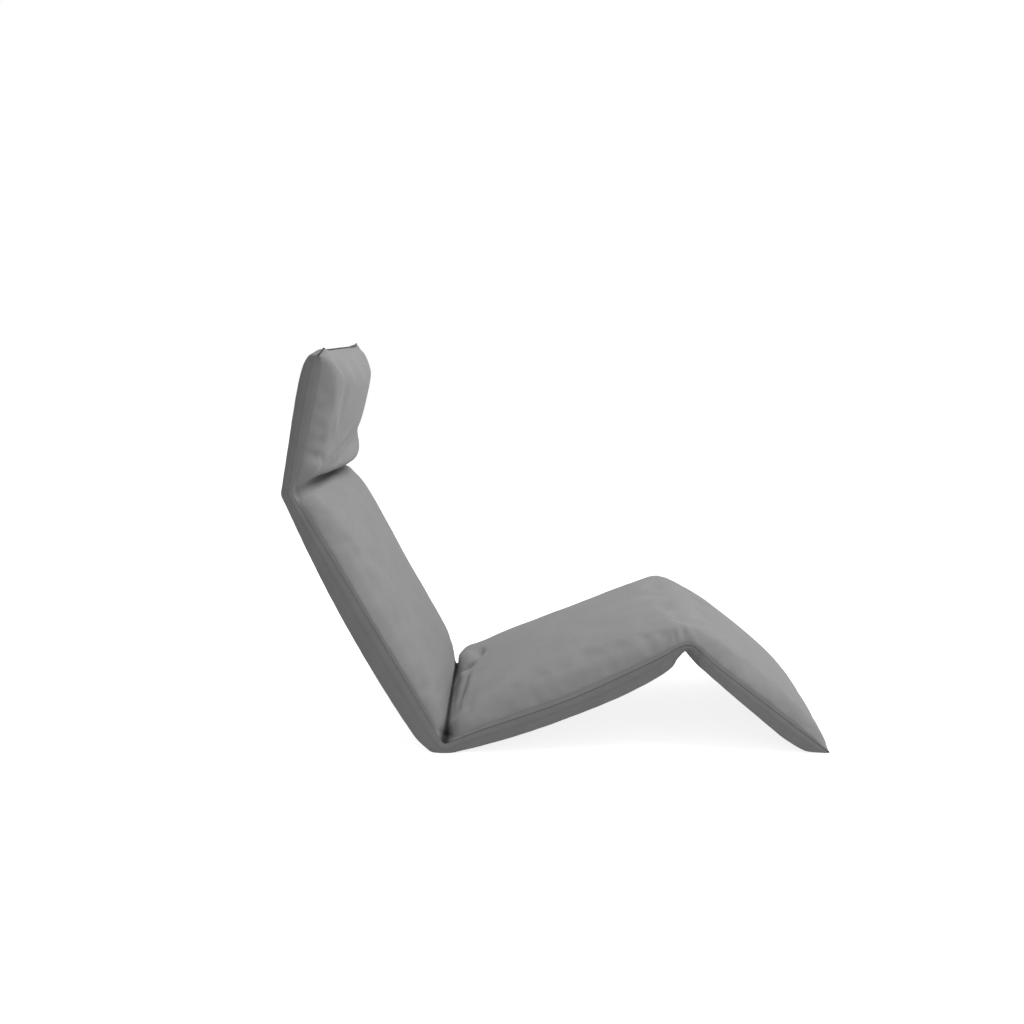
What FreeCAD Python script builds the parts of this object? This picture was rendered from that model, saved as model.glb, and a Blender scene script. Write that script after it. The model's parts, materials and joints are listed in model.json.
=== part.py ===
import FreeCAD, Part
import math
import os

V = FreeCAD.Vector

# Pad sizes in millimetres; every section runs along its own x, crown up, hinge axis in the seam plane
PAD_WIDTH = 600.0
HEAD_LENGTH = 282.0
BACK_LENGTH = 586.0
SEAT_LENGTH = 530.0
LEG_LENGTH = 352.0

# Bends of the rest pose in degrees, and the ratchet steps that each takes up
HEAD_BEND = 42.0
HIP_BEND = 82.5
KNEE_BEND = 60.0
HEAD_STEPS = 4
HIP_STEPS = 11
KNEE_STEPS = 6

# Rise of the crown above the seam and drop of the belly below it, as (share of the section, height)
KNEE_RISE = 57.0
HINGE_BELLY = 23.0
TOE_RADIUS = 20.0
HEAD_CROWN = (
    (0.0, 8.0), (0.03, 32.0), (0.08, 50.0), (0.17, 62.0), (0.32, 66.0), (0.55, 64.0), (0.78, 62.0), (1.0, 54.0),
)
HEAD_BELLY = (
    (0.0, 6.0), (0.03, 17.0), (0.08, 25.0), (0.17, 29.0), (0.32, 30.0), (0.55, 28.0), (0.78, 25.0),
    (1.0, HINGE_BELLY),
)
BACK_CROWN = ((0.0, 56.0), (0.12, 65.0), (0.3, 67.0), (0.5, 67.0), (0.7, 68.0), (0.87, 63.0), (1.0, 53.0))
BACK_BELLY = (
    (0.0, HINGE_BELLY), (0.15, 33.0), (0.35, 43.0), (0.55, 48.0), (0.75, 47.0), (0.9, 39.0), (1.0, HINGE_BELLY),
)
SEAT_CROWN = ((0.0, 44.0), (0.11, 56.0), (0.24, 62.0), (0.45, 63.0), (0.65, 61.0), (0.85, 58.0), (1.0, KNEE_RISE))
SEAT_BELLY = (
    (0.0, HINGE_BELLY), (0.12, 33.0), (0.3, 43.0), (0.5, 47.0), (0.7, 46.0), (0.88, 36.0), (1.0, HINGE_BELLY),
)
LEG_CROWN = (
    (0.0, KNEE_RISE), (0.06, 58.0), (0.16, 63.0), (0.32, 66.0), (0.52, 63.0), (0.7, 56.0), (0.85, 44.0),
    (0.95, 27.0), (1.0, 8.0),
)
LEG_BELLY = ((0.0, HINGE_BELLY), (0.2, 24.0), (0.4, 28.0), (0.6, 31.0), (0.75, 31.0), (0.87, 26.0))
TOE_TURNS = (80.0, 45.0, 18.0)
CORNER_SHARE = 0.62
EDGE_SHARE = 0.5
LOFT_DEGREE = 3

# Cover, foam and fits
COVER = 2.0
FIT = 0.3
CREASE_GAP = 0.25
LAP = COVER + 0.4
LAP_TURN = 3.0
RING_LENGTH = 4.0
RING_OVERLAP = 0.5
FLOOR_FLAT = 3.5
TOE_FLAT = 0.5
HINGE_CLEAR = 24.0
SKIRT_END = 40.0

# Frame
FRAME_HALF = 250.0
RAIL_RADIUS = 9.5
CROSS_RADIUS = 8.0
TUBE_WALL = 1.2
RAIL_START = 34.0
BEND_RADIUS = 50.0
FRAME_END = 52.0
CROSS_INSET = 90.0
WELD_GAP = 0.05
STRAP_WIDTH = 40.0
STRAP_THICK = 1.5
STRAP_FIT = 0.1
STRAP_PITCH = 85.0
STRAP_INSET = 130.0

# Ratchet hinge
HUB_RADIUS = 15.5
TOOTH_DEPTH = 1.9
CHEEK_RADIUS = 16.0
CHEEK_THICK = 2.5
SECTOR_THICK = 5.0
HINGE_SIDE_FIT = 0.3
PIVOT_RADIUS = 4.0
PIVOT_FIT = 0.05
PIVOT_HEAD = 7.0
PIVOT_HEAD_THICK = 2.2
PAWL_X = 22.0
PAWL_Z = 9.0
PAWL_PIN_RADIUS = 2.5
PAWL_BOSS = 4.8
PAWL_PIN_HEAD = 4.0
PAWL_PIN_HEAD_THICK = 1.5
PAWL_NOSE_TURN = 8.0
PAWL_TIP_FIT = 0.3
ARM_HALF = 8.0
BRIDGE_START = 26.0
SPIGOT_FIT = 0.1
SPIGOT_LENGTH = 26.0
SPRING_THICK = 0.5
SPRING_REACH = 1.7
MOUTH_SIDE = 11.0
CROWN_MOUTH_FIT = 7.5
BELLY_MOUTH_FIT = 4.0
WELL_SIDE = 14.0
WELL_TOP = 19.0
WELL_LENGTH = 46.0

# Zip under the seat
ZIP_PLACE = 0.57
ZIP_LENGTH = 440.0
ZIP_TAPE_WIDTH = 26.0
ZIP_TAPE_THICK = 0.8
ZIP_CHAIN_WIDTH = 5.0
ZIP_CHAIN_THICK = 1.8
ZIP_SLIDER_LENGTH = 14.0
ZIP_SLIDER_WALL = 2.0
ZIP_TAB_LENGTH = 22.0

# Sizes that follow from the ones above
HALF = PAD_WIDTH / 2
BIG = 3000.0
BORE_RADIUS = RAIL_RADIUS - TUBE_WALL
STRAP_OUTER = RAIL_RADIUS + STRAP_FIT + STRAP_THICK
POCKET_TOP = STRAP_OUTER + FIT
POCKET_HALF = FRAME_HALF + STRAP_OUTER + 3.0
CHEEK_INNER = SECTOR_THICK / 2 + HINGE_SIDE_FIT
CHEEK_OUTER = CHEEK_INNER + CHEEK_THICK
FLOOR_DROP = HINGE_BELLY - FLOOR_FLAT
DOWN_Y = V(0, -1, 0)
UP_Y = V(0, 1, 0)
CROWN = 1
BELLY = -1


def toe_lift(tilt):
    """Height of the legrest's toe over the floor for a seat tilt, less the flat that the floor takes."""
    knee = FLOOR_DROP + SEAT_LENGTH * math.sin(math.radians(tilt))
    slope = math.sin(math.radians(KNEE_BEND - tilt))
    return knee - (LEG_LENGTH - TOE_RADIUS) * slope - TOE_RADIUS + TOE_FLAT


def seat_tilt():
    """Seat tilt at which hip and toe both stand on the floor."""
    low = 0.0
    high = KNEE_BEND
    for _ in range(60):
        middle = (low + high) / 2
        if toe_lift(middle) > 0:
            high = middle
        else:
            low = middle
    return (low + high) / 2


SEAT_TILT = seat_tilt()
BACK_TILT = SEAT_TILT - HIP_BEND
HEAD_TILT = BACK_TILT - HEAD_BEND
LEG_TILT = SEAT_TILT - KNEE_BEND


def along(tilt, length):
    """Step of a given length along a section that is tilted in the XZ plane."""
    turn = math.radians(tilt)
    return V(length * math.cos(turn), 0, length * math.sin(turn))


HIP_AT = V(0, 0, FLOOR_DROP)
KNEE_AT = HIP_AT + along(SEAT_TILT, SEAT_LENGTH)
HEAD_AT = HIP_AT - along(BACK_TILT, BACK_LENGTH)


class Section:
    """One padded section: where it lies on its own x axis, its two shapes and its free end, if any."""

    def __init__(self, start, end, crown, belly, free_end):
        self.start = start
        self.end = end
        self.length = end - start
        self.crown = [(start + share * self.length, rise) for share, rise in crown]
        self.belly = [(start + share * self.length, drop) for share, drop in belly]
        self.free_end = free_end

    def stations(self, side, inset):
        """Cross-section places and heights on one side, drawn in by inset, also at the free end."""
        rows = self.crown if side == CROWN else self.belly
        drawn = []
        for x, height in rows:
            if self.free_end is not None and abs(x - self.free_end) < 1e-6:
                x += math.copysign(inset, (self.start + self.end) / 2 - x)
            drawn.append((x, height - inset))
        return drawn


def toe_stations():
    """Belly of the legrest's end, a round toe that closes on the end seam."""
    rows = []
    for turn in TOE_TURNS:
        x = LEG_LENGTH - TOE_RADIUS + TOE_RADIUS * math.cos(math.radians(turn))
        rows.append((x / LEG_LENGTH, TOE_RADIUS * math.sin(math.radians(turn))))
    return tuple(rows) + ((1.0, 4.0),)


HEAD = Section(-HEAD_LENGTH, 0.0, HEAD_CROWN, HEAD_BELLY, -HEAD_LENGTH)
BACK = Section(-BACK_LENGTH, 0.0, BACK_CROWN, BACK_BELLY, None)
SEAT = Section(0.0, SEAT_LENGTH, SEAT_CROWN, SEAT_BELLY, None)
LEG = Section(0.0, LEG_LENGTH, LEG_CROWN, LEG_BELLY + toe_stations(), LEG_LENGTH)


def crown_wire(x, half, rise):
    """Closed three-centre arch over the seam line, across the pad at x."""
    corner = CORNER_SHARE * rise
    radius = (half ** 2 + rise ** 2 - 2 * half * corner) / (2 * (rise - corner))
    side = half - corner
    reach = radius - corner
    meet_y = side + corner * side / reach
    meet_z = corner * (radius - rise) / reach
    middle = math.atan2(meet_z, meet_y - side) / 2
    bow_y = side + corner * math.cos(middle)
    bow_z = corner * math.sin(middle)
    right = Part.Arc(V(x, half, 0), V(x, bow_y, bow_z), V(x, meet_y, meet_z)).toShape()
    over = Part.Arc(V(x, meet_y, meet_z), V(x, 0, rise), V(x, -meet_y, meet_z)).toShape()
    left = Part.Arc(V(x, -meet_y, meet_z), V(x, -bow_y, bow_z), V(x, -half, 0)).toShape()
    seam = Part.makeLine(V(x, -half, 0), V(x, half, 0))
    return Part.Wire([right, over, left, seam])


def belly_wire(x, half, drop):
    """Closed boxed panel under the seam line: upright sides, round lower edges, flat bottom, at x."""
    edge = EDGE_SHARE * drop
    side = half - edge
    low = edge - drop
    bow = edge * math.sqrt(0.5)
    near = Part.makeLine(V(x, half, 0), V(x, half, low))
    right = Part.Arc(V(x, half, low), V(x, side + bow, low - bow), V(x, side, -drop)).toShape()
    under = Part.makeLine(V(x, side, -drop), V(x, -side, -drop))
    left = Part.Arc(V(x, -side, -drop), V(x, -side - bow, low - bow), V(x, -half, low)).toShape()
    far = Part.makeLine(V(x, -half, low), V(x, -half, 0))
    seam = Part.makeLine(V(x, -half, 0), V(x, half, 0))
    return Part.Wire([near, right, under, left, far, seam])


def wire(side, x, half, height):
    return crown_wire(x, half, height) if side == CROWN else belly_wire(x, half, height)


def form(section, side, inset):
    """Soft form of one side of a section, drawn in by inset all round."""
    wires = [wire(side, x, HALF - inset, height) for x, height in section.stations(side, inset)]
    return Part.makeLoft(wires, True, False, False, LOFT_DEGREE)


def half_space(x, z, turn):
    """Everything on the far side of a plane through (x, z), whose normal stands at turn degrees."""
    box = Part.makeBox(BIG, 2 * BIG, 2 * BIG, V(0, -BIG, -BIG))
    box.rotate(V(0, 0, 0), DOWN_Y, turn)
    box.translate(V(x, 0, z))
    return box


def crease(x, turn, gap):
    """What a crease takes off at the hinge axis at x, with a gap in front of its plane."""
    back = along(turn, gap)
    return half_space(x - back.x, -back.z, turn)


def slab(x0, x1, y0, y1, z0, z1):
    return Part.makeBox(x1 - x0, y1 - y0, z1 - z0, V(x0, y0, z0))


def floor_cut(tilt, axis_height, depth):
    """Everything below the floor, in the frame of a section whose axis stands at axis_height."""
    down = along(-90.0 - tilt, axis_height + depth)
    return half_space(down.x, down.z, -90.0 - tilt)


def place(shape, tilt, at):
    """Put a section's shape into the rest pose."""
    moved = shape.copy()
    moved.rotate(V(0, 0, 0), DOWN_Y, tilt)
    moved.translate(at)
    return moved


def bent_lap(side, x, height, turn):
    """Skin that goes on round a hinge axis under the next section's skin, with the ring that joins it."""
    outer = Part.Face(wire(side, x, HALF - LAP, height - LAP))
    inner = Part.Face(wire(side, x, HALF - LAP - COVER, height - LAP - COVER))
    rim = Part.Face(wire(side, x, HALF - RING_OVERLAP, height - RING_OVERLAP))
    skin = outer.revolve(V(x, 0, 0), UP_Y, turn)
    hollow = inner.revolve(V(x, 0, 0), UP_Y, turn)
    toward = RING_LENGTH if side == BELLY else -RING_LENGTH
    ring = rim.extrude(V(toward, 0, 0)).cut(inner.extrude(V(toward, 0, 0)))
    return skin, hollow, ring


def cover_shell(section, side, creases):
    """Cover of one side of a section, closed by a fabric wall at each crease."""
    outer = form(section, side, 0.0)
    inner = form(section, side, COVER)
    for x, turn in creases:
        outer = outer.cut(crease(x, turn, CREASE_GAP))
        inner = inner.cut(crease(x, turn, CREASE_GAP + COVER))
    return outer, inner


# Crease planes, as (axis x, direction of the plane's normal)
SEAT_HIP_CREASE = (0.0, 180.0 - HIP_BEND / 2)
BACK_HIP_CREASE = (0.0, HIP_BEND / 2)
BACK_HEAD_CREASE = (-BACK_LENGTH, 180.0 - HEAD_BEND / 2)
HEAD_CREASE = (0.0, HEAD_BEND / 2)
SEAT_KNEE_CREASE = (SEAT_LENGTH, -KNEE_BEND / 2)
LEG_KNEE_CREASE = (0.0, KNEE_BEND / 2 - 180.0)


def hinge_mouths(x, fit):
    """Openings in a crease's fabric walls for the two hinges at an axis."""
    radius = CHEEK_RADIUS + fit
    mouths = []
    for y in (-FRAME_HALF, FRAME_HALF):
        mouths.append(Part.makeCylinder(radius, 2 * MOUTH_SIDE, V(x, y - MOUTH_SIDE, 0), UP_Y))
    return mouths


def headrest_upper_cover():
    outer, inner = cover_shell(HEAD, CROWN, [HEAD_CREASE])
    return outer.cut(inner).cut(hinge_mouths(0.0, CROWN_MOUTH_FIT))


def headrest_lower_cover():
    outer, inner = cover_shell(HEAD, BELLY, [])
    return outer.cut(inner)


def backrest_upper_cover():
    outer, inner = cover_shell(BACK, CROWN, [BACK_HIP_CREASE, BACK_HEAD_CREASE])
    mouths = hinge_mouths(0.0, CROWN_MOUTH_FIT) + hinge_mouths(-BACK_LENGTH, CROWN_MOUTH_FIT)
    return outer.cut(inner).cut(mouths)


def backrest_lower_cover():
    outer, inner = cover_shell(BACK, BELLY, [])
    skin, hollow, ring = bent_lap(BELLY, -BACK_LENGTH, HINGE_BELLY, HEAD_BEND + LAP_TURN)
    return outer.cut(inner).fuse([skin.cut(hollow), ring])


def seat_upper_cover():
    outer, inner = cover_shell(SEAT, CROWN, [SEAT_HIP_CREASE])
    skin, hollow, ring = bent_lap(CROWN, SEAT_LENGTH, KNEE_RISE, KNEE_BEND + LAP_TURN)
    shell = outer.cut(inner).cut(hinge_mouths(0.0, CROWN_MOUTH_FIT))
    return shell.fuse([skin.cut(hollow), ring])


def seat_lower_cover():
    outer, inner = cover_shell(SEAT, BELLY, [SEAT_KNEE_CREASE])
    skin, hollow, ring = bent_lap(BELLY, 0.0, HINGE_BELLY, HIP_BEND + LAP_TURN)
    floor = floor_cut(SEAT_TILT, FLOOR_DROP, 0.0)
    raised = floor_cut(SEAT_TILT, FLOOR_DROP, -COVER)
    tray = outer.cut(floor).cut(inner.cut(raised)).cut(hinge_mouths(SEAT_LENGTH, BELLY_MOUTH_FIT))
    heel = skin.cut(floor).cut(hollow.cut(raised))
    return tray.fuse([heel, ring.cut(floor)]).removeSplitter()


def legrest_upper_cover():
    outer = form(LEG, CROWN, 0.0).cut(half_space(CREASE_GAP, 0, 180.0))
    return outer.cut(form(LEG, CROWN, COVER))


def legrest_lower_cover():
    outer, inner = cover_shell(LEG, BELLY, [LEG_KNEE_CREASE])
    shell = outer.cut(floor_cut(LEG_TILT, KNEE_AT.z, 0.0)).cut(inner)
    return shell.cut(hinge_mouths(0.0, BELLY_MOUTH_FIT))


def frame_pocket():
    """Room under the foam for the frame and its straps, over the whole length."""
    return slab(-BIG, BIG, -POCKET_HALF, POCKET_HALF, -BIG, POCKET_TOP)


def hinge_wells(x, toward):
    """Room in the foam for the two hinges at an axis, on the side that toward points to."""
    x0 = min(x, x + toward * WELL_LENGTH)
    x1 = max(x, x + toward * WELL_LENGTH)
    wells = []
    for y in (-FRAME_HALF, FRAME_HALF):
        wells.append(slab(x0, x1, y - WELL_SIDE, y + WELL_SIDE, -BIG, WELL_TOP))
    return wells


def skirts(section, x0, x1):
    """Foam beside the frame, from the seam down to the base pad's top."""
    lower = form(section, BELLY, COVER + FIT)
    band = lower.common(slab(x0, x1, -BIG, BIG, -POCKET_TOP + FIT, 0.0))
    return band.cut(frame_pocket())


def cushion(section, creases, x0, x1):
    """Foam of one section: crown on top of skirts, less the frame's pocket."""
    upper = form(section, CROWN, COVER + FIT)
    for x, turn in creases:
        upper = upper.cut(crease(x, turn, CREASE_GAP + COVER + FIT))
    return upper.cut(frame_pocket()).fuse(skirts(section, x0, x1))


def headrest_foam():
    foam = cushion(HEAD, [HEAD_CREASE], -HEAD_LENGTH + SKIRT_END, -HINGE_CLEAR)
    return foam.cut(hinge_wells(0.0, -1)).removeSplitter()


def backrest_foam():
    foam = cushion(BACK, [BACK_HIP_CREASE, BACK_HEAD_CREASE], -BACK_LENGTH + HINGE_CLEAR, -HINGE_CLEAR)
    return foam.cut(hinge_wells(0.0, -1) + hinge_wells(-BACK_LENGTH, 1)).removeSplitter()


def knee_bulge():
    """Foam that fills the rounded knee, clear of the hinge."""
    inset = LAP + COVER + FIT
    x = SEAT_LENGTH
    face = Part.Face(crown_wire(x, HALF - inset, KNEE_RISE - inset))
    face = face.cut(slab(x - 1, x + 1, -BIG, BIG, -1.0, WELL_TOP + 1.0))
    round_part = face.revolve(V(x, 0, 0), UP_Y, KNEE_BEND)
    return face.extrude(V(-RING_LENGTH - 2, 0, 0)).fuse(round_part)


def seat_foam():
    foam = cushion(SEAT, [SEAT_HIP_CREASE], HINGE_CLEAR, SEAT_LENGTH - HINGE_CLEAR)
    foam = foam.cut(half_space(SEAT_LENGTH - RING_LENGTH - 1, 0, 0.0))
    foam = foam.cut(hinge_wells(0.0, 1) + hinge_wells(SEAT_LENGTH, -1))
    return foam.fuse(knee_bulge()).removeSplitter()


def legrest_foam():
    foam = cushion(LEG, [], HINGE_CLEAR, LEG_LENGTH - SKIRT_END).cut(half_space(CREASE_GAP, 0, 180.0))
    swept = Part.Face(crown_wire(0.0, HALF - LAP + FIT, KNEE_RISE - LAP + FIT))
    sweep = swept.revolve(V(0, 0, 0), UP_Y, KNEE_BEND + LAP_TURN + 1.5)
    return foam.cut(sweep).cut(hinge_wells(0.0, 1)).removeSplitter()


def base_pad(section, x0, x1):
    """Pad between the frame and the lower cover."""
    lower = form(section, BELLY, COVER + FIT)
    return lower.common(slab(x0, x1, -BIG, BIG, -BIG, -POCKET_TOP))


def headrest_base_pad():
    return base_pad(HEAD, -HEAD_LENGTH, -HINGE_CLEAR)


def backrest_base_pad():
    return base_pad(BACK, -BACK_LENGTH + HINGE_CLEAR, -HINGE_CLEAR)


def seat_base_pad():
    return base_pad(SEAT, HINGE_CLEAR, SEAT_LENGTH - HINGE_CLEAR).cut(hinge_wells(SEAT_LENGTH, -1))


def legrest_base_pad():
    return base_pad(LEG, HINGE_CLEAR, LEG_LENGTH)


def tube(start, end, radius):
    """Straight steel tube between two points."""
    run = end - start
    outer = Part.makeCylinder(radius, run.Length, start, run)
    return outer.cut(Part.makeCylinder(radius - TUBE_WALL, run.Length, start, run))


def side_rail(x0, x1, y):
    return tube(V(x0 + RAIL_START, y, 0), V(x1 - RAIL_START, y, 0), RAIL_RADIUS)


def cross_tube(x):
    """Tube between the two rails at x, coped to their round sides."""
    whole = tube(V(x, -FRAME_HALF, 0), V(x, FRAME_HALF, 0), CROSS_RADIUS)
    copes = []
    for y in (-FRAME_HALF, FRAME_HALF):
        start = V(x - 2 * RAIL_RADIUS, y, 0)
        copes.append(Part.makeCylinder(RAIL_RADIUS + WELD_GAP, 4 * RAIL_RADIUS, start, V(1, 0, 0)))
    return whole.cut(copes)


def cross_tubes(x0, x1):
    return Part.makeCompound([cross_tube(x0 + CROSS_INSET), cross_tube(x1 - CROSS_INSET)])


def ring_face(centre, normal):
    """Cut end of a frame tube."""
    outer = Part.Face(Part.Wire(Part.makeCircle(RAIL_RADIUS, centre, normal)))
    return outer.cut(Part.Face(Part.Wire(Part.makeCircle(BORE_RADIUS, centre, normal))))


def bent_frame(toward, reach):
    """Frame tube of an end section: out along one side, across near the free end, and back."""
    turn_x = toward * (reach - BEND_RADIUS)
    turn_y = FRAME_HALF - BEND_RADIUS
    pieces = []
    for y in (-FRAME_HALF, FRAME_HALF):
        sign = math.copysign(1, y)
        start = V(toward * RAIL_START, y, 0)
        pieces.append(tube(start, V(turn_x, y, 0), RAIL_RADIUS))
        face = ring_face(V(turn_x, y, 0), V(1, 0, 0))
        spin = V(0, 0, -sign * toward)
        pieces.append(face.revolve(V(turn_x, sign * turn_y, 0), spin, 90))
    x = toward * reach
    pieces.append(tube(V(x, -turn_y, 0), V(x, turn_y, 0), RAIL_RADIUS))
    return pieces[0].fuse(pieces[1:]).removeSplitter()


def strap(x):
    """Webbing loop round both rails, centred at x."""
    loops = []
    for radius in (STRAP_OUTER, STRAP_OUTER - STRAP_THICK):
        flat = slab(x - STRAP_WIDTH / 2, x + STRAP_WIDTH / 2, -FRAME_HALF, FRAME_HALF, -radius, radius)
        ends = []
        for y in (-FRAME_HALF, FRAME_HALF):
            start = V(x - STRAP_WIDTH / 2, y, 0)
            ends.append(Part.makeCylinder(radius, STRAP_WIDTH, start, V(1, 0, 0)))
        loops.append(flat.fuse(ends).removeSplitter())
    return loops[0].cut(loops[1])


def straps(x0, x1):
    """Evenly spaced webbing between two places."""
    count = max(2, int(round((x1 - x0) / STRAP_PITCH)) + 1)
    step = (x1 - x0) / (count - 1)
    return Part.makeCompound([strap(x0 + i * step) for i in range(count)])


def plate(points, y0, y1):
    """Flat plate with a straight-sided outline in the XZ plane."""
    corners = [V(x, y0, z) for x, z in points]
    outline = Part.makePolygon(corners + corners[:1])
    return Part.Face(outline).extrude(V(0, y1 - y0, 0))


def disc(x, z, radius, y0, y1):
    return Part.makeCylinder(radius, y1 - y0, V(x, y0, z), UP_Y)


def spigot(toward):
    """Round end that plugs into a rail."""
    start = V(toward * (RAIL_START - 2), 0, 0)
    return Part.makeCylinder(BORE_RADIUS - SPIGOT_FIT, SPIGOT_LENGTH, start, V(toward, 0, 0))


def cheek(y0, y1):
    """One side plate of the fork."""
    arm = slab(0, RAIL_START, y0, y1, -ARM_HALF, ARM_HALF)
    lobe = disc(PAWL_X, PAWL_Z, PAWL_BOSS + 1.2, y0, y1)
    rise = plate([(0, 0), (PAWL_X, 0), (PAWL_X, PAWL_Z + PAWL_BOSS + 1.2), (0, CHEEK_RADIUS)], y0, y1)
    whole = disc(0, 0, CHEEK_RADIUS, y0, y1).fuse([arm, lobe, rise])
    holes = [
        disc(0, 0, PIVOT_RADIUS + PIVOT_FIT, y0, y1),
        disc(PAWL_X, PAWL_Z, PAWL_PIN_RADIUS + PIVOT_FIT, y0, y1),
    ]
    return whole.cut(holes)


def fork():
    """Hinge half with two cheeks, bridged at the tail, that plugs into one rail."""
    near = cheek(-CHEEK_OUTER, -CHEEK_INNER)
    far = cheek(CHEEK_INNER, CHEEK_OUTER)
    bridge = slab(BRIDGE_START, RAIL_START, -CHEEK_OUTER, CHEEK_OUTER, -ARM_HALF, ARM_HALF - 3)
    return near.fuse([far, bridge, spigot(1)]).removeSplitter()


def tooth_gaps(bend, steps):
    """Saw-tooth notches on the hub, one for each ratchet step, and one more at each end."""
    pitch = bend / steps
    gaps = []
    for i in range(-1, steps + 2):
        turn = math.radians(PAWL_NOSE_TURN + i * pitch)
        ahead = turn + math.radians(0.8 * pitch)
        outer = HUB_RADIUS + 1.0
        inner = HUB_RADIUS - TOOTH_DEPTH
        points = [
            (outer * math.cos(turn), outer * math.sin(turn)),
            (inner * math.cos(turn), inner * math.sin(turn)),
            (outer * math.cos(ahead), outer * math.sin(ahead)),
        ]
        gaps.append(plate(points, -SECTOR_THICK, SECTOR_THICK))
    return gaps


def sector(bend, steps):
    """Hinge half with the toothed hub, whose arm stays on the closing side until it is past the lap."""
    y = SECTOR_THICK / 2
    hub = disc(0, 0, HUB_RADIUS, -y, y)
    clear = HINGE_BELLY - 1.0
    arm = plate(
        [
            (-8, 0.5),
            (-8, 12),
            (-clear, 12),
            (-RAIL_START, ARM_HALF),
            (-RAIL_START, -ARM_HALF),
            (-clear - 3, -ARM_HALF),
            (-clear, 0.5),
        ],
        -y,
        y,
    )
    bore = disc(0, 0, PIVOT_RADIUS + PIVOT_FIT, -y, y)
    return hub.fuse([arm, spigot(-1)]).cut(tooth_gaps(bend, steps) + [bore]).removeSplitter()


def pawl():
    """Lever between the cheeks, its nose just clear of the tooth tips."""
    y = SECTOR_THICK / 2
    turn = math.radians(PAWL_NOSE_TURN)
    tip_radius = HUB_RADIUS + PAWL_TIP_FIT
    tip = (tip_radius * math.cos(turn), tip_radius * math.sin(turn))
    back = (tip[0] + 2.2, tip[1] - 0.4)
    nose = plate([tip, (PAWL_X - 4.6, PAWL_Z + 1), (PAWL_X + 0.5, PAWL_Z - 4.5), back], -y, y)
    boss = disc(PAWL_X, PAWL_Z, PAWL_BOSS, -y, y)
    hole = disc(PAWL_X, PAWL_Z, PAWL_PIN_RADIUS + PIVOT_FIT, -y, y)
    hub = disc(0, 0, tip_radius, -2 * y, 2 * y)
    return boss.fuse(nose).cut([hole, hub]).removeSplitter()


def rivet(x, z, radius, head, head_thick):
    """Headed pin through both cheeks."""
    shank = disc(x, z, radius, -CHEEK_OUTER, CHEEK_OUTER)
    near = disc(x, z, head, -CHEEK_OUTER - head_thick, -CHEEK_OUTER)
    far = disc(x, z, head, CHEEK_OUTER, CHEEK_OUTER + head_thick)
    return shank.fuse([near, far]).removeSplitter()


def pivot_rivet():
    return rivet(0, 0, PIVOT_RADIUS, PIVOT_HEAD, PIVOT_HEAD_THICK)


def pawl_pin():
    return rivet(PAWL_X, PAWL_Z, PAWL_PIN_RADIUS, PAWL_PIN_HEAD, PAWL_PIN_HEAD_THICK)


def pawl_spring():
    """Leaf that stands on the fork's bridge and pushes the pawl's nose home."""
    x = BRIDGE_START - SPRING_REACH
    y = SECTOR_THICK / 2 - 0.5
    leaf = slab(x, x + SPRING_THICK, -y, y, -ARM_HALF + 0.5, 2.5)
    foot = slab(x, BRIDGE_START, -y, y, -ARM_HALF + 0.5, -ARM_HALF + 0.5 + SPRING_THICK)
    return leaf.fuse(foot).removeSplitter()


def hinge_at(shape, x, y, turned):
    """Bring a hinge piece to its axis; a turned one has its fork towards minus x."""
    moved = shape.copy()
    if turned:
        moved.rotate(V(0, 0, 0), UP_Y, 180)
    moved.translate(V(x, y, 0))
    return moved


def pair_at(shape, x, turned):
    return Part.makeCompound([hinge_at(shape, x, y, turned) for y in (-FRAME_HALF, FRAME_HALF)])


def zip_floor():
    """Level of the seat's underside where the zip runs across it."""
    x = ZIP_PLACE * SEAT_LENGTH
    band = slab(x - ZIP_TAPE_WIDTH / 2, x + ZIP_TAPE_WIDTH / 2, -BIG, BIG, -BIG, 0.0)
    strip = form(SEAT, BELLY, 0.0).common(band)
    return strip.optimalBoundingBox(False, False).ZMin - WELD_GAP


def seat_zip():
    """Tape and closed chain under the middle of the seat, across the pad."""
    x = ZIP_PLACE * SEAT_LENGTH
    z = zip_floor()
    half = ZIP_LENGTH / 2
    tape = slab(x - ZIP_TAPE_WIDTH / 2, x + ZIP_TAPE_WIDTH / 2, -half, half, z - ZIP_TAPE_THICK, z)
    low = z - ZIP_TAPE_THICK - ZIP_CHAIN_THICK
    chain = slab(x - ZIP_CHAIN_WIDTH / 2, x + ZIP_CHAIN_WIDTH / 2, -half + 5, half - 5, low, z - ZIP_TAPE_THICK)
    return tape.fuse(chain).removeSplitter()


def zip_slider():
    """Slider that clasps the chain, with its flat tab, at the closed end."""
    x = ZIP_PLACE * SEAT_LENGTH
    top = zip_floor() - ZIP_TAPE_THICK - FIT
    low = top - ZIP_CHAIN_THICK
    inner = ZIP_CHAIN_WIDTH / 2 + FIT
    outer = inner + ZIP_SLIDER_WALL
    y0 = -ZIP_LENGTH / 2 + 8
    y1 = y0 + ZIP_SLIDER_LENGTH
    block = slab(x - outer, x + outer, y0, y1, low - ZIP_SLIDER_WALL, top)
    groove = slab(x - inner, x + inner, y0, y1, low, top)
    under = low - ZIP_SLIDER_WALL
    tab = slab(x - inner, x + inner, y1 - 4, y1 + ZIP_TAB_LENGTH, under - ZIP_SLIDER_WALL, under)
    return block.cut(groove).fuse(tab).removeSplitter()


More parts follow.
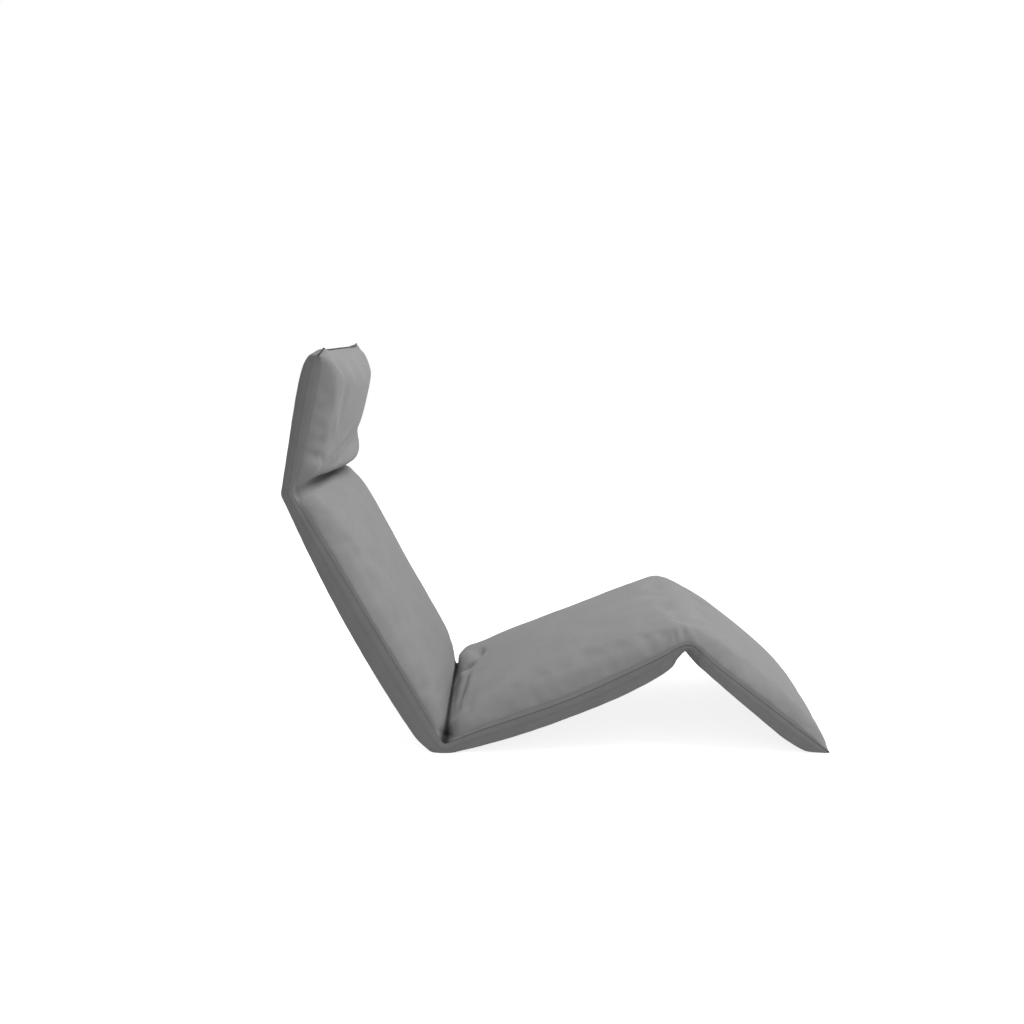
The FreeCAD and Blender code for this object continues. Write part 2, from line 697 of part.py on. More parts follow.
def head_nodes():
    reach = HEAD_LENGTH - FRAME_END
    return {
        "headrest_upper_cover": headrest_upper_cover(),
        "headrest_lower_cover": headrest_lower_cover(),
        "headrest_foam": headrest_foam(),
        "headrest_base_pad": headrest_base_pad(),
        "headrest_frame_tube": bent_frame(-1, reach),
        "headrest_straps": straps(-reach + BEND_RADIUS + STRAP_WIDTH / 2, -STRAP_INSET + STRAP_WIDTH),
        "head_sector_left": hinge_at(sector(HEAD_BEND, HEAD_STEPS), 0, FRAME_HALF, False),
        "head_sector_right": hinge_at(sector(HEAD_BEND, HEAD_STEPS), 0, -FRAME_HALF, False),
    }


def back_nodes():
    x = -BACK_LENGTH
    return {
        "backrest_upper_cover": backrest_upper_cover(),
        "backrest_lower_cover": backrest_lower_cover(),
        "backrest_foam": backrest_foam(),
        "backrest_base_pad": backrest_base_pad(),
        "backrest_rail_left": side_rail(x, 0, FRAME_HALF),
        "backrest_rail_right": side_rail(x, 0, -FRAME_HALF),
        "backrest_cross_tubes": cross_tubes(x, 0),
        "backrest_straps": straps(x + STRAP_INSET, -STRAP_INSET),
        "hip_sector_left": hinge_at(sector(HIP_BEND, HIP_STEPS), 0, FRAME_HALF, False),
        "hip_sector_right": hinge_at(sector(HIP_BEND, HIP_STEPS), 0, -FRAME_HALF, False),
        "head_fork_left": hinge_at(fork(), x, FRAME_HALF, False),
        "head_fork_right": hinge_at(fork(), x, -FRAME_HALF, False),
        "head_pawl_left": hinge_at(pawl(), x, FRAME_HALF, False),
        "head_pawl_right": hinge_at(pawl(), x, -FRAME_HALF, False),
        "head_pivot_rivets": pair_at(pivot_rivet(), x, False),
        "head_pawl_pins": pair_at(pawl_pin(), x, False),
        "head_pawl_springs": pair_at(pawl_spring(), x, False),
    }


def seat_hinge_nodes(name, x, turned):
    """Hinge pieces that the seat carries at one of its two axes."""
    return {
        name + "_fork_left": hinge_at(fork(), x, FRAME_HALF, turned),
        name + "_fork_right": hinge_at(fork(), x, -FRAME_HALF, turned),
        name + "_pawl_left": hinge_at(pawl(), x, FRAME_HALF, turned),
        name + "_pawl_right": hinge_at(pawl(), x, -FRAME_HALF, turned),
        name + "_pivot_rivets": pair_at(pivot_rivet(), x, turned),
        name + "_pawl_pins": pair_at(pawl_pin(), x, turned),
        name + "_pawl_springs": pair_at(pawl_spring(), x, turned),
    }


def seat_nodes():
    nodes = {
        "seat_upper_cover": seat_upper_cover(),
        "seat_lower_cover": seat_lower_cover(),
        "seat_foam": seat_foam(),
        "seat_base_pad": seat_base_pad(),
        "seat_rail_left": side_rail(0, SEAT_LENGTH, FRAME_HALF),
        "seat_rail_right": side_rail(0, SEAT_LENGTH, -FRAME_HALF),
        "seat_cross_tubes": cross_tubes(0, SEAT_LENGTH),
        "seat_straps": straps(STRAP_INSET, SEAT_LENGTH - STRAP_INSET),
        "seat_zip": seat_zip(),
        "zip_slider": zip_slider(),
    }
    nodes.update(seat_hinge_nodes("hip", 0, False))
    nodes.update(seat_hinge_nodes("knee", SEAT_LENGTH, True))
    return nodes


def leg_nodes():
    reach = LEG_LENGTH - FRAME_END
    return {
        "legrest_upper_cover": legrest_upper_cover(),
        "legrest_lower_cover": legrest_lower_cover(),
        "legrest_foam": legrest_foam(),
        "legrest_base_pad": legrest_base_pad(),
        "legrest_frame_tube": bent_frame(1, reach),
        "legrest_straps": straps(STRAP_INSET - STRAP_WIDTH, reach - BEND_RADIUS - STRAP_WIDTH / 2),
        "knee_sector_left": hinge_at(sector(KNEE_BEND, KNEE_STEPS), 0, FRAME_HALF, True),
        "knee_sector_right": hinge_at(sector(KNEE_BEND, KNEE_STEPS), 0, -FRAME_HALF, True),
    }


def main():
    os.makedirs("parts", exist_ok=True)
    sections = [
        (head_nodes(), HEAD_TILT, HEAD_AT),
        (back_nodes(), BACK_TILT, HIP_AT),
        (seat_nodes(), SEAT_TILT, HIP_AT),
        (leg_nodes(), LEG_TILT, KNEE_AT),
    ]
    for nodes, tilt, at in sections:
        for name, shape in nodes.items():
            whole = shape.Solids[0] if len(shape.Solids) == 1 else shape
            place(whole, tilt, at).exportStep("parts/" + name + ".step")


main()
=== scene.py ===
import json
import math

import bpy
import numpy as np
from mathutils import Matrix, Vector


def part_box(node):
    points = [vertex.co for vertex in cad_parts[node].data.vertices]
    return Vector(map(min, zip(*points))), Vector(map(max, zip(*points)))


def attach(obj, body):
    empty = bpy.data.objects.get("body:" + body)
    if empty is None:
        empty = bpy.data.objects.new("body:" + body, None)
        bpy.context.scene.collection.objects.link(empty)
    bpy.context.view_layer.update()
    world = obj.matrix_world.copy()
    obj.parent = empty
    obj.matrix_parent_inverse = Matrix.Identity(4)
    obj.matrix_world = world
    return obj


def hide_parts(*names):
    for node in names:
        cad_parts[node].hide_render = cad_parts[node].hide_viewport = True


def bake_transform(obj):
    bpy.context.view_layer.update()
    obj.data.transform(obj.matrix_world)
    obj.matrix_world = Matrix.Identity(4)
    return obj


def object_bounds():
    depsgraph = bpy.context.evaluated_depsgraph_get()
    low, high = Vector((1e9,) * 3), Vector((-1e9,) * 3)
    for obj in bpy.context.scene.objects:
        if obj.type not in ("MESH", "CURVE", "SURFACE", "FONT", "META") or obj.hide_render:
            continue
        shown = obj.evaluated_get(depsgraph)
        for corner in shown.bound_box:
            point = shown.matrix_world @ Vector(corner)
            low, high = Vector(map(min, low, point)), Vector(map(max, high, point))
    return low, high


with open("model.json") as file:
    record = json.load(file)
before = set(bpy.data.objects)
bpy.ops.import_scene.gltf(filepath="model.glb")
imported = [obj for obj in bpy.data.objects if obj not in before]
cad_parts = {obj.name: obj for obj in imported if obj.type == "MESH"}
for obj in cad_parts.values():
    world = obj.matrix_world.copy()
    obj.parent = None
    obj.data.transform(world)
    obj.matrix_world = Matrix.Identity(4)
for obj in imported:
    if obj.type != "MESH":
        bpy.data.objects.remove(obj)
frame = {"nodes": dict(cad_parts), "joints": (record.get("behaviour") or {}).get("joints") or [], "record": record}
CAD_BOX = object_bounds()

bl_info = {
    "name": "Padded Floor Lounger",
    "version": (1, 0, 0),
    "blender": (4, 5, 0),
    "location": "View3D > Sidebar > Lounger",
    "description": "Dresses a jointed floor lounger with sewn covers, seams, a zip and a studio",
    "category": "Object",
}

# Hinge axes in the XZ plane and the bends of the rest pose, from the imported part
JOINTS = {joint["name"]: joint for joint in frame["joints"]}


def hinge_at(name):
    """Place of a hinge axis in the XZ plane, in metres."""
    return np.array(JOINTS[name]["pos_m"])[[0, 2]]


def bend_of(name):
    """Bend of a joint in the rest pose, in radians: the travel that lays its two sections in line."""
    return math.radians(JOINTS[name]["range_deg"][1])


HIP = hinge_at("hip_recline")
HEAD = hinge_at("head_tilt")
KNEE = hinge_at("knee_lift")
SEAT_LENGTH = float(np.linalg.norm(KNEE - HIP))
SEAT_TILT = math.atan2(*(KNEE - HIP)[::-1])
BACK_TILT = math.atan2(*(HIP - HEAD)[::-1])
HEAD_TILT = BACK_TILT - bend_of("head_tilt")
LEG_TILT = SEAT_TILT - bend_of("knee_lift")
HALF_WIDTH = float(CAD_BOX[1][1] - CAD_BOX[0][1]) / 2

# Free lengths of the end sections, and the drop of the belly at a hinge
HEAD_LENGTH = 0.282
LEG_LENGTH = 0.352
HINGE_DROP = 0.023

# Crown over the seam plane and belly under it, as (place along the section, height), in metres
HEAD_CROWN = (
    (-0.282, 0.008), (-0.262, 0.060), (-0.234, 0.069), (-0.192, 0.070), (-0.140, 0.067), (-0.100, 0.063),
    (-0.076, 0.062), (-0.050, 0.064), (0.0, 0.056),
)
HEAD_BELLY = (
    (-0.282, 0.006), (-0.259, 0.025), (-0.234, 0.029), (-0.192, 0.030), (-0.127, 0.028), (0.0, 0.023),
)
BACK_CROWN = (
    (-0.586, 0.052), (-0.540, 0.063), (-0.516, 0.067), (-0.410, 0.066), (-0.293, 0.0615), (-0.176, 0.0580),
    (-0.090, 0.053), (0.0, 0.048),
)
BACK_BELLY = (
    (-0.586, 0.023), (-0.498, 0.033), (-0.381, 0.043), (-0.264, 0.048), (-0.147, 0.048), (-0.059, 0.043),
    (0.0, 0.025),
)
SEAT_CROWN = (
    (0.0, 0.056), (0.058, 0.069), (0.127, 0.0750), (0.239, 0.0780), (0.345, 0.074), (0.451, 0.0675),
    (0.530, 0.057),
)
SEAT_BELLY = (
    (0.0, 0.023), (0.064, 0.033), (0.159, 0.043), (0.265, 0.047), (0.371, 0.046), (0.466, 0.036),
    (0.530, 0.023),
)
LEG_CROWN = (
    (0.0, 0.057), (0.021, 0.060), (0.056, 0.064), (0.113, 0.0640), (0.183, 0.0620), (0.246, 0.057),
    (0.299, 0.045), (0.334, 0.027), (0.352, 0.008),
)
LEG_BELLY = (
    (0.0, 0.023), (0.070, 0.024), (0.141, 0.028), (0.211, 0.031), (0.264, 0.034), (0.306, 0.031),
    (0.332, 0.024), (0.352, 0.004),
)

# Places of the control rows along each section, closer together by the bends
HEAD_ROWS = np.array((-0.248, -0.222, -0.194, -0.166, -0.138, -0.112, -0.090, -0.070))
BACK_ROWS = np.concatenate(((-0.520, -0.498), np.linspace(-0.470, -0.118, 13), (-0.094, -0.072)))
SEAT_ROWS = np.concatenate(((0.068, 0.088), np.linspace(0.112, 0.448, 13), (0.468, 0.488)))
LEG_ROWS = np.concatenate(((0.040, 0.062), np.linspace(0.086, 0.302, 9), (0.322, 0.337)))

# Free ends, where seam, crown and belly close on the end seam: places and heights of each
HEAD_END = (
    ((-0.2820, -0.2800, -0.2750, -0.2650), (0.0, 0.0, 0.0, 0.0)),
    ((-0.2820, -0.2840, -0.2805, -0.2680), (0.0, 0.019, 0.040, 0.0570)),
    ((-0.2820, -0.2828, -0.2785, -0.2640), (0.0, -0.008, -0.0172, -0.0242)),
)
TOE_END = (
    ((0.3450, 0.3500, 0.3520), (0.0, 0.0, 0.0)),
    ((0.3480, 0.3530, 0.3520), (0.0200, 0.0090, 0.0)),
    ((0.3450, 0.3520, 0.3520), (-0.0150, -0.0070, 0.0)),
)

# Inner folds of head and hip: half-widths of the slit from mouth to bottom, the share of its height that is
# narrow, its round bottom, and how far from the hinge its mouth, seam and belly rows are taken
SLIT_WIDTHS = np.array((0.0085, 0.0050, 0.0034))
SLIT_NARROW = 0.45
SLIT_ROUND = 0.005
MOUTH_AWAY = 0.045
FOLD_SEAM_AWAY = np.array((0.046, 0.030, 0.015))
FOLD_BELLY_AWAY = np.array((0.036, 0.012))
# Belly round a fold: share of the bend to each side, and its radius over the hinge's drop
BELLY_TURN = 0.42
BELLY_EASE = 1.04
# How far the folds lie off the hinge towards the head, and the heel of the hip under its belly
HEAD_FOLD_SHIFT = -0.011
HIP_FOLD_SHIFT = -0.009
HIP_HEEL = 0.008

# Knee: shares of the bend at its crown rows, their rise over the section's crown, the places of its seam
# rows, and the notch under it as places across the bend and drops under the axis
KNEE_TURNS = np.array((-0.5, -0.3, -0.1, 0.1, 0.3, 0.5))
KNEE_RISE = 0.0012
KNEE_SEAM_AWAY = np.array((0.028, 0.016, 0.005))
NOTCH_ACROSS = np.array((-0.0180, -0.0085, -0.0010, 0.0010, 0.0080, 0.0170))
NOTCH_DROP = np.array((0.0385, 0.0290, 0.0205, 0.0205, 0.0290, 0.0345))

# Side seam: where the seat's sag starts, how much shorter than the seat it is, and the reach of its knee lift
SAG_START = 0.03
SAG_SHORT = 0.05
SEAT_KNEE_REACH = 0.045
LEG_KNEE_REACH = 0.040

# Lower edge: its round width and its superellipse power, with what the knee adds within some rows of it
EDGE_WIDTH = 0.016
EDGE_POWER = 2 / 3
KNEE_EDGE_WIDTH = 0.030
KNEE_EDGE_POWER = 1.2
KNEE_EDGE_ROWS = 3.4

# Half cross-sections: height and columns of the crown, columns of the lower edge and the belly, how much the
# belly swells, and how far the edge and the belly reach from the seam
CROWN_RISE = 0.060
CROWN_COLUMNS = 46
EDGE_COLUMNS = 17
BELLY_COLUMNS = 30
BELLY_SWELL = 0.05
EDGE_REACH = 0.045
BELLY_REACH = 0.27
SEAM_RADIUS = 0.0045

# Flank of a fold: rows that it is drawn in over, the head's share of the hip's, where across the panel it
# starts, ends and fades, and how strongly the painted shade of its crease darkens the cloth
HIP_TUCK_ROWS = 1.5
HEAD_TUCK_ROWS = 1.35
HEAD_TUCK = 0.42
TUCK_START = 0.010
TUCK_END = 0.16
TUCK_FADE = 0.11
CREASE_SHADE_GAIN = 1.2

# Cloth run: solver settings, frames, and how strongly and how far it is held from bends, ends and seams
CLOTH = {
    "quality": 4, "mass": 0.25, "tension_stiffness": 12, "compression_stiffness": 12, "shear_stiffness": 6,
    "bending_stiffness": 1.2, "use_pressure": True, "uniform_pressure_force": 4, "shrink_max": 0.0,
    "vertex_group_shrink": "held", "vertex_group_mass": "held",
}
CLOTH_FRAMES = 16
PIN_LEVELS = 10
HOLD = 1.25
UPPER_HOLD_REACH = 0.045
LOWER_HOLD_REACH = 0.05
END_HOLD_REACH = 0.012
SWELL_END_REACH = 0.03
UPPER_SEAM_HOLD = 0.010
LOWER_SEAM_HOLD = 0.06
LOWER_SEAM_FULL = 1.3
LOWER_SLACK = 0.4
LOWER_PUFF = 0.5

# Ears of the sewn ends: heights, radius and fade. The near head ear is lower and further in, its corner cut
HEAD_EAR = 0.0065
TOE_EAR = 0.005
EAR_RADIUS = 0.017
EAR_FADE = 0.014
NEAR_EAR_LESS = 0.0025
NEAR_EAR_IN = 0.056
CORNER_CUT = 0.007
CORNER_RADIUS = 0.034
CORNER_FADE = 0.024

# Stitch groove beside the seams, and gathers along them: wave length, seed, reach and gap
GROOVE_DEPTH = 0.0004
GROOVE_PLACE = 0.0075
GROOVE_RADIUS = 0.0014
UPPER_GATHER = (0.043, 3, 0.040, 0.010)
WIDE_GATHER = (0.21, 5, 0.16, 0.03)
LOWER_GATHER = (0.050, 21, 0.030, 0.008)
WIDE_RISE = 0.0014
WIDE_SLANT = 0.6
LOWER_SHARE = 0.8
# How much longer the far side's run is read than the near side's, so that their gathers differ
UPPER_FAR_SIDE = 1.17
LOWER_FAR_SIDE = 1.13
SEWN_REACH = 0.014

# Ripples beside a fold: the fold, the side (1 towards the toe), height, wave length, seed, slant, reach, gap
FOLD_RIPPLES = (
    ("hip_fold", 1, 0.0022, 0.105, 8, 0.55, 0.055, 0.025),
    ("hip_fold", -1, 0.0018, 0.16, 9, -0.4, 0.050, 0.025),
    ("head_fold", -1, 0.0014, 0.13, 12, 0.5, 0.06, 0.02),
)
# Rolls and dimples beside a fold: (run from the fold, place across), radii, turn in degrees, height
ROLLS = {
    "hip_fold": (
        ((0.053, 0.054), (0.022, 0.048), 0.0, 0.0130),
        ((0.085, 0.046), (0.0120, 0.040), 6.0, -0.0125),
        ((0.056, -0.038), (0.0190, 0.014), 8.0, -0.0095),
        ((0.046, -0.070), (0.013, 0.020), 0.0, 0.0075),
        ((0.046, -0.155), (0.0085, 0.062), -12.0, -0.0070),
        ((0.064, -0.165), (0.0110, 0.060), -12.0, 0.0030),
        ((0.046, 0.175), (0.0230, 0.085), -4.0, 0.0120),
        ((0.024, 0.190), (0.0130, 0.110), 0.0, 0.0075),
        ((0.078, 0.170), (0.0100, 0.040), -10.0, -0.0030),
        ((-0.034, 0.020), (0.0090, 0.090), 4.0, 0.0030),
    ),
    "head_fold": (
        ((-0.056, 0.050), (0.021, 0.260), 2.0, 0.0185),
        ((-0.096, 0.040), (0.016, 0.200), 3.0, -0.0020),
        ((-0.070, -0.070), (0.010, 0.140), 9.0, -0.0050),
        ((-0.098, -0.150), (0.012, 0.080), 18.0, 0.0030),
        ((-0.190, -0.215), (0.035, 0.018), 0.0, -0.0030),
        ((-0.140, -0.235), (0.020, 0.014), 20.0, 0.0025),
    ),
}
# Pleats by the side seams at the knee: height, wave length, slant, and place and radius along and across
PLEAT_RISE = 0.0012
PLEAT_WAVE = 0.024
PLEAT_SLANT = 0.25
PLEAT_ALONG = (-0.012, 0.028)
PLEAT_ACROSS = (0.030, 0.024)
# Detail is calmed by the rows where a panel is cut into pieces
CALM = 0.85
CALM_REACH = 0.03

# Floor under the cloth: softness of its contact, the level pressed to and the least height over it
FLOOR_SOFT = 0.0012
FLOOR_LEVEL = 0.0006
FLOOR_LEAST = 0.0002

# Zip: place along the seat from the hip axis, half its length, and where the cloth is drawn straight for it
ZIP_HALF = float(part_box("seat_zip")[1][1])
SLIDER_END = float(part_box("zip_slider")[1][1])
ZIP_PLACE = 0.302
ZIP_FLAT_EDGE = 0.236
ZIP_FLAT_END = 0.262
ZIP_FLAT_REACH = 0.026
ZIP_ROWS_CLEAR = 30
TAPE_HALF = 0.0125
TAPE_ACROSS = np.array((-1.0, -0.92, -0.6, -0.3, -0.16, 0.0, 0.16, 0.3, 0.6, 0.92, 1.0))
TAPE_LIFT = 0.0001 * np.array((-6, 6, 9, 9, 4, 2, 4, 9, 9, 6, -6))
TAPE_STEPS = 121
# Teeth and stops as sizes along, across and high, their pitch, clear ends, stagger, taper and base
TOOTH = (0.0030, 0.0014, 0.0013)
STOP = (0.006, 0.004, 0.0022)
TOOTH_PITCH = 0.0025
TOOTH_CLEAR = 0.008
TOOTH_STAGGER = 0.0007
TOOTH_TAPER = 0.72
STOP_CLEAR = 0.004
STOP_TAPER = 0.8
BLOCK_BASE = 0.0003
# Slider: outline, levels and sizes of its shell, place from the end of its box, and the wire pull beside it
SHELL_SIDES = 28
SHELL_WIDE = 0.0050
SHELL_LEAN = 0.0011
SHELL_LONG = 0.0068
SHELL_SIZES = np.array((0.02, 0.90, 1.0, 1.0, 0.90, 0.70, 0.36, 0.02))
SHELL_LEVELS = np.array((0.0004, 0.0004, 0.0009, 0.0034, 0.0043, 0.0047, 0.0049, 0.0049))
SLIDER_IN = 0.009
PULL_AWAY = 0.0135
PULL_HALF = (0.0036, 0.0105)
PULL_LIFT = 0.0044
PULL_WIRE = 0.0009
PULL_POWER = 0.6

# Thread beside the seams, and tape of the end seams with its step out from each end
STITCH_PLACE = 0.0072
STITCH_RADIUS = 0.0005
STITCH_AHEAD = 0.001
TAPE_RADIUS = 0.0017
TAPE_END_SIZES = (0.02, 0.75)
END_TAPES = (("head_end_tape", 0, "headrest", -0.0008), ("toe_end_tape", -1, "legrest", 0.0004))

# Studio: light from all round, floor, key lamp as place, target, size and watts, and the camera
WHITE = (1.0, 1.0, 1.0, 1.0)
WORLD_LIGHT = 0.39
FLOOR_GREY = (0.82, 0.82, 0.82, 1.0)
FLOOR_GLOW = 0.84
FLOOR_HALF = 9
FLOOR_POINTS = 7
KEY_LAMP = ((1.5, -0.35, 3.0), (0.15, 0.0, 0.3), 2.0, 63.0)
CAMERA_PLACE = (0.1381, -2.8524, 0.8470)
CAMERA_DOWN = 7.95
CAMERA_TURN = 0.02
SENSOR = 36.0
FOCAL_PIXELS = 1318.0
PICTURE_PIXELS = 1024


def length_property(label, text, default):
    """A length, in metres."""
    return bpy.props.FloatProperty(name=label, description=text, default=default, unit="LENGTH")


def colour_property(label, text, *colour):
    """A colour, as linear red, green and blue."""
    return bpy.props.FloatVectorProperty(name=label, description=text, default=colour, subtype="COLOR")


class LoungerSizes(bpy.types.PropertyGroup):
    """Sizes of the sewn covers."""

    seam_sag: length_property("Seam Sag", "Sag of the seat's side seam at mid-length", 0.010)
    seam_inset: length_property("Seam Inset", "How far the side seam is drawn in", 0.0018)
    knee_lift: length_property("Knee Lift", "How far the side seam rises over the knee's hinge line", 0.006)
    hip_fold: length_property("Hip Fold", "Height of the hip fold's bottom over the hinge axis", 0.045)
    head_fold: length_property("Head Fold", "Height of the head fold's bottom over the hinge axis", 0.030)
    slack: bpy.props.FloatProperty(
        name="Slack", description="Spare cloth before it is blown out", default=0.02, subtype="FACTOR")
    puff: length_property("Puff", "Most that the filling may push a cover out", 0.006)
    swell: length_property("Swell", "How much lower the crown is cut than it stands when filled", 0.0045)
    flank: length_property("Flank", "How far a fold draws the pad's side in", 0.034)
    pucker: length_property("Pucker", "Height of the gathers along the side seams", 0.0012)
    stitch: length_property("Stitch", "Pitch of the top-stitching", 0.006)


class LoungerColours(bpy.types.PropertyGroup):
    """Colours of cloth and metal."""

    upper: colour_property("Upper Cloth", "Cloth of the crown side", 0.325, 0.325, 0.325)
    lower: colour_property("Lower Cloth", "Cloth of the underside", 0.262, 0.262, 0.263)
    thread: colour_property("Thread", "Sewing thread", 0.25, 0.25, 0.25)
    binding: colour_property("Binding", "Tape of the end seams", 0.035, 0.035, 0.036)
    paint: colour_property("Frame Paint", "Paint of the steel tubes", 0.010, 0.010, 0.011)
    steel: colour_property("Hinge Steel", "Bare steel of the hinges", 0.36, 0.37, 0.39)
    webbing: colour_property("Webbing", "Straps between the rails", 0.016, 0.016, 0.018)


def spread(origin, first, a, second, b):
    """Points in the XZ plane: the origin, plus a times the first unit vector, plus b times the second."""
    return origin + np.multiply.outer(a, first) + np.multiply.outer(b, second)


def bell(x, reach):
    """Bell of height 1 round nought: e to the power of minus the square of x over the reach."""
    return np.exp(-(x / reach) ** 2)


def fade(x, reach):
    """Falls from 1 at nought: e to the power of minus x over the reach."""
    return np.exp(-x / reach)


def beside(x, reach, gap):
    """Weight on one side of a line: nought up to it, then a rise over the gap that fades over the reach."""
    away = np.clip(x, 0, 1)
    return (x > 0) * fade(away, reach) * (1 - bell(away, gap))


def unit(vectors):
    """The same directions at length 1."""
    return vectors / np.maximum(np.linalg.norm(vectors, axis=-1, keepdims=True), 1e-12)


class Section:
    """Frame of one padded section: its hinge, the direction from head to foot and the crown's direction."""

    def __init__(self, origin, tilt, crown, belly):
        self.origin = origin
        self.along = np.array((math.cos(tilt), math.sin(tilt)))
        self.up = np.array((-math.sin(tilt), math.cos(tilt)))
        self.crown = crown
        self.belly = belly

    def point(self, x, z):
        """Points in the XZ plane for places x along the section and heights z over its seam plane."""
        return spread(self.origin, self.along, x, self.up, z)


HEADREST = Section(HEAD, HEAD_TILT, HEAD_CROWN, HEAD_BELLY)
BACKREST = Section(HIP, BACK_TILT, BACK_CROWN, BACK_BELLY)
SEAT = Section(HIP, SEAT_TILT, SEAT_CROWN, SEAT_BELLY)
LEGREST = Section(KNEE, LEG_TILT, LEG_CROWN, LEG_BELLY)
SEAT_ALONG = np.array((SEAT.along[0], 0.0, SEAT.along[1]))
SEAT_DOWN = -np.array((SEAT.up[0], 0.0, SEAT.up[1]))
ACROSS = np.array((0.0, 1.0, 0.0))

# Pieces of each panel: name, the two bodies, their joint, the blend's reach, the marks of start and end
PANEL_SPANS = (
    ("head_back", "headrest", "backrest", "head_tilt", 0.024, None, "back_middle"),
    ("back_seat", "backrest", "seat", "hip_recline", 0.028, "back_middle", "seat_middle"),
    ("seat_leg", "seat", "legrest", "knee_lift", 0.050, "seat_middle", None),
)


def from_table(table, x):
    """Heights at x from (place, height) knots: a cubic in each span, with central differences as slopes."""
    place, height = np.array(table).T
    slope = np.gradient(height, place)
    span = np.clip(np.searchsorted(place, x) - 1, 0, len(place) - 2)
    wide = place[span + 1] - place[span]
    t = np.clip((x - place[span]) / wide, 0, 1)
    start = (2 * t ** 3 - 3 * t ** 2 + 1) * height[span] + (t ** 3 - 2 * t ** 2 + t) * wide * slope[span]
    end = (3 * t ** 2 - 2 * t ** 3) * height[span + 1] + (t ** 3 - t ** 2) * wide * slope[span + 1]
    return start + end


def plain_rows(section, x, sag=0.0):
    """Seam, crown and belly points of a section at places x; the seam may sag under its plane."""
    return (
        section.point(x, -np.broadcast_to(sag, x.shape)),
        section.point(x, from_table(section.crown, x)),
        section.point(x, -from_table(section.belly, x)),
    )


def bisector(before, after):
    """Unit vectors of a bend: up the plane that halves it, on the crown side, and across to the foot side."""
    up = unit(after.along - before.along)
    if np.dot(up, after.up) < 0:
        up = -up
    return up, np.array((up[1], -up[0]))


def inner_fold(joint, before, after, bend, depth, shift, heel=0.0):
    """Rows through a bend that folds the crown in.

    The crown comes along each section, turns down the plane that halves the bend and meets at depth over the
    axis; the belly goes round the axis on an arc; the seam passes the axis itself.
    """
    up, across = bisector(before, after)
    end = before.crown[-1][0]
    start = after.crown[0][0]
    lean = math.sin((math.pi - bend) / 2)
    mouth_before = from_table(before.crown, end - MOUTH_AWAY) / lean
    mouth_after = from_table(after.crown, start + MOUTH_AWAY) / lean
    middle = depth + SLIT_NARROW * (min(mouth_before, mouth_after) - depth)
    bottom = depth + SLIT_ROUND
    rise = np.array((mouth_before, middle, bottom, depth, bottom, middle, mouth_after))
    side = np.concatenate((-SLIT_WIDTHS, (0.0,), SLIT_WIDTHS[::-1])) + shift
    crown = spread(joint, across, side, up, rise)
    level = np.zeros(len(FOLD_SEAM_AWAY))
    seam_before = before.point(end - FOLD_SEAM_AWAY, level)
    seam_after = after.point(start + FOLD_SEAM_AWAY[::-1], level)
    turn = np.array((-BELLY_TURN, 0.0, BELLY_TURN)) * bend
    radius = HINGE_DROP * BELLY_EASE + heel
    arc = spread(joint, across, radius * np.sin(turn), up, -radius * np.cos(turn))
    low_end = end - FOLD_BELLY_AWAY
    low_start = start + FOLD_BELLY_AWAY[::-1]
    low_before = before.point(low_end, -heel - from_table(before.belly, low_end))
    low_after = after.point(low_start, -from_table(after.belly, low_start))
    seam = np.concatenate((seam_before, joint[None], seam_after))
    return seam, crown, np.concatenate((low_before, arc, low_after))


def outer_bend(joint, before, after, bend, lift):
    """Rows through the knee: the crown rounds the axis on an arc and the belly folds to a notch under it."""
    up, across = bisector(before, after)
    turn = KNEE_TURNS * bend
    end, height = before.crown[-1]
    rise = height + KNEE_RISE
    crown = spread(joint, across, rise * np.sin(turn), up, rise * np.cos(turn))
    level = np.full(len(KNEE_SEAM_AWAY), lift)
    seam_before = before.point(end - KNEE_SEAM_AWAY, level)
    seam_after = after.point(KNEE_SEAM_AWAY[::-1], level)
    notch = spread(joint, across, NOTCH_ACROSS, up, -NOTCH_DROP)
    return np.concatenate((seam_before, seam_after)), crown, notch


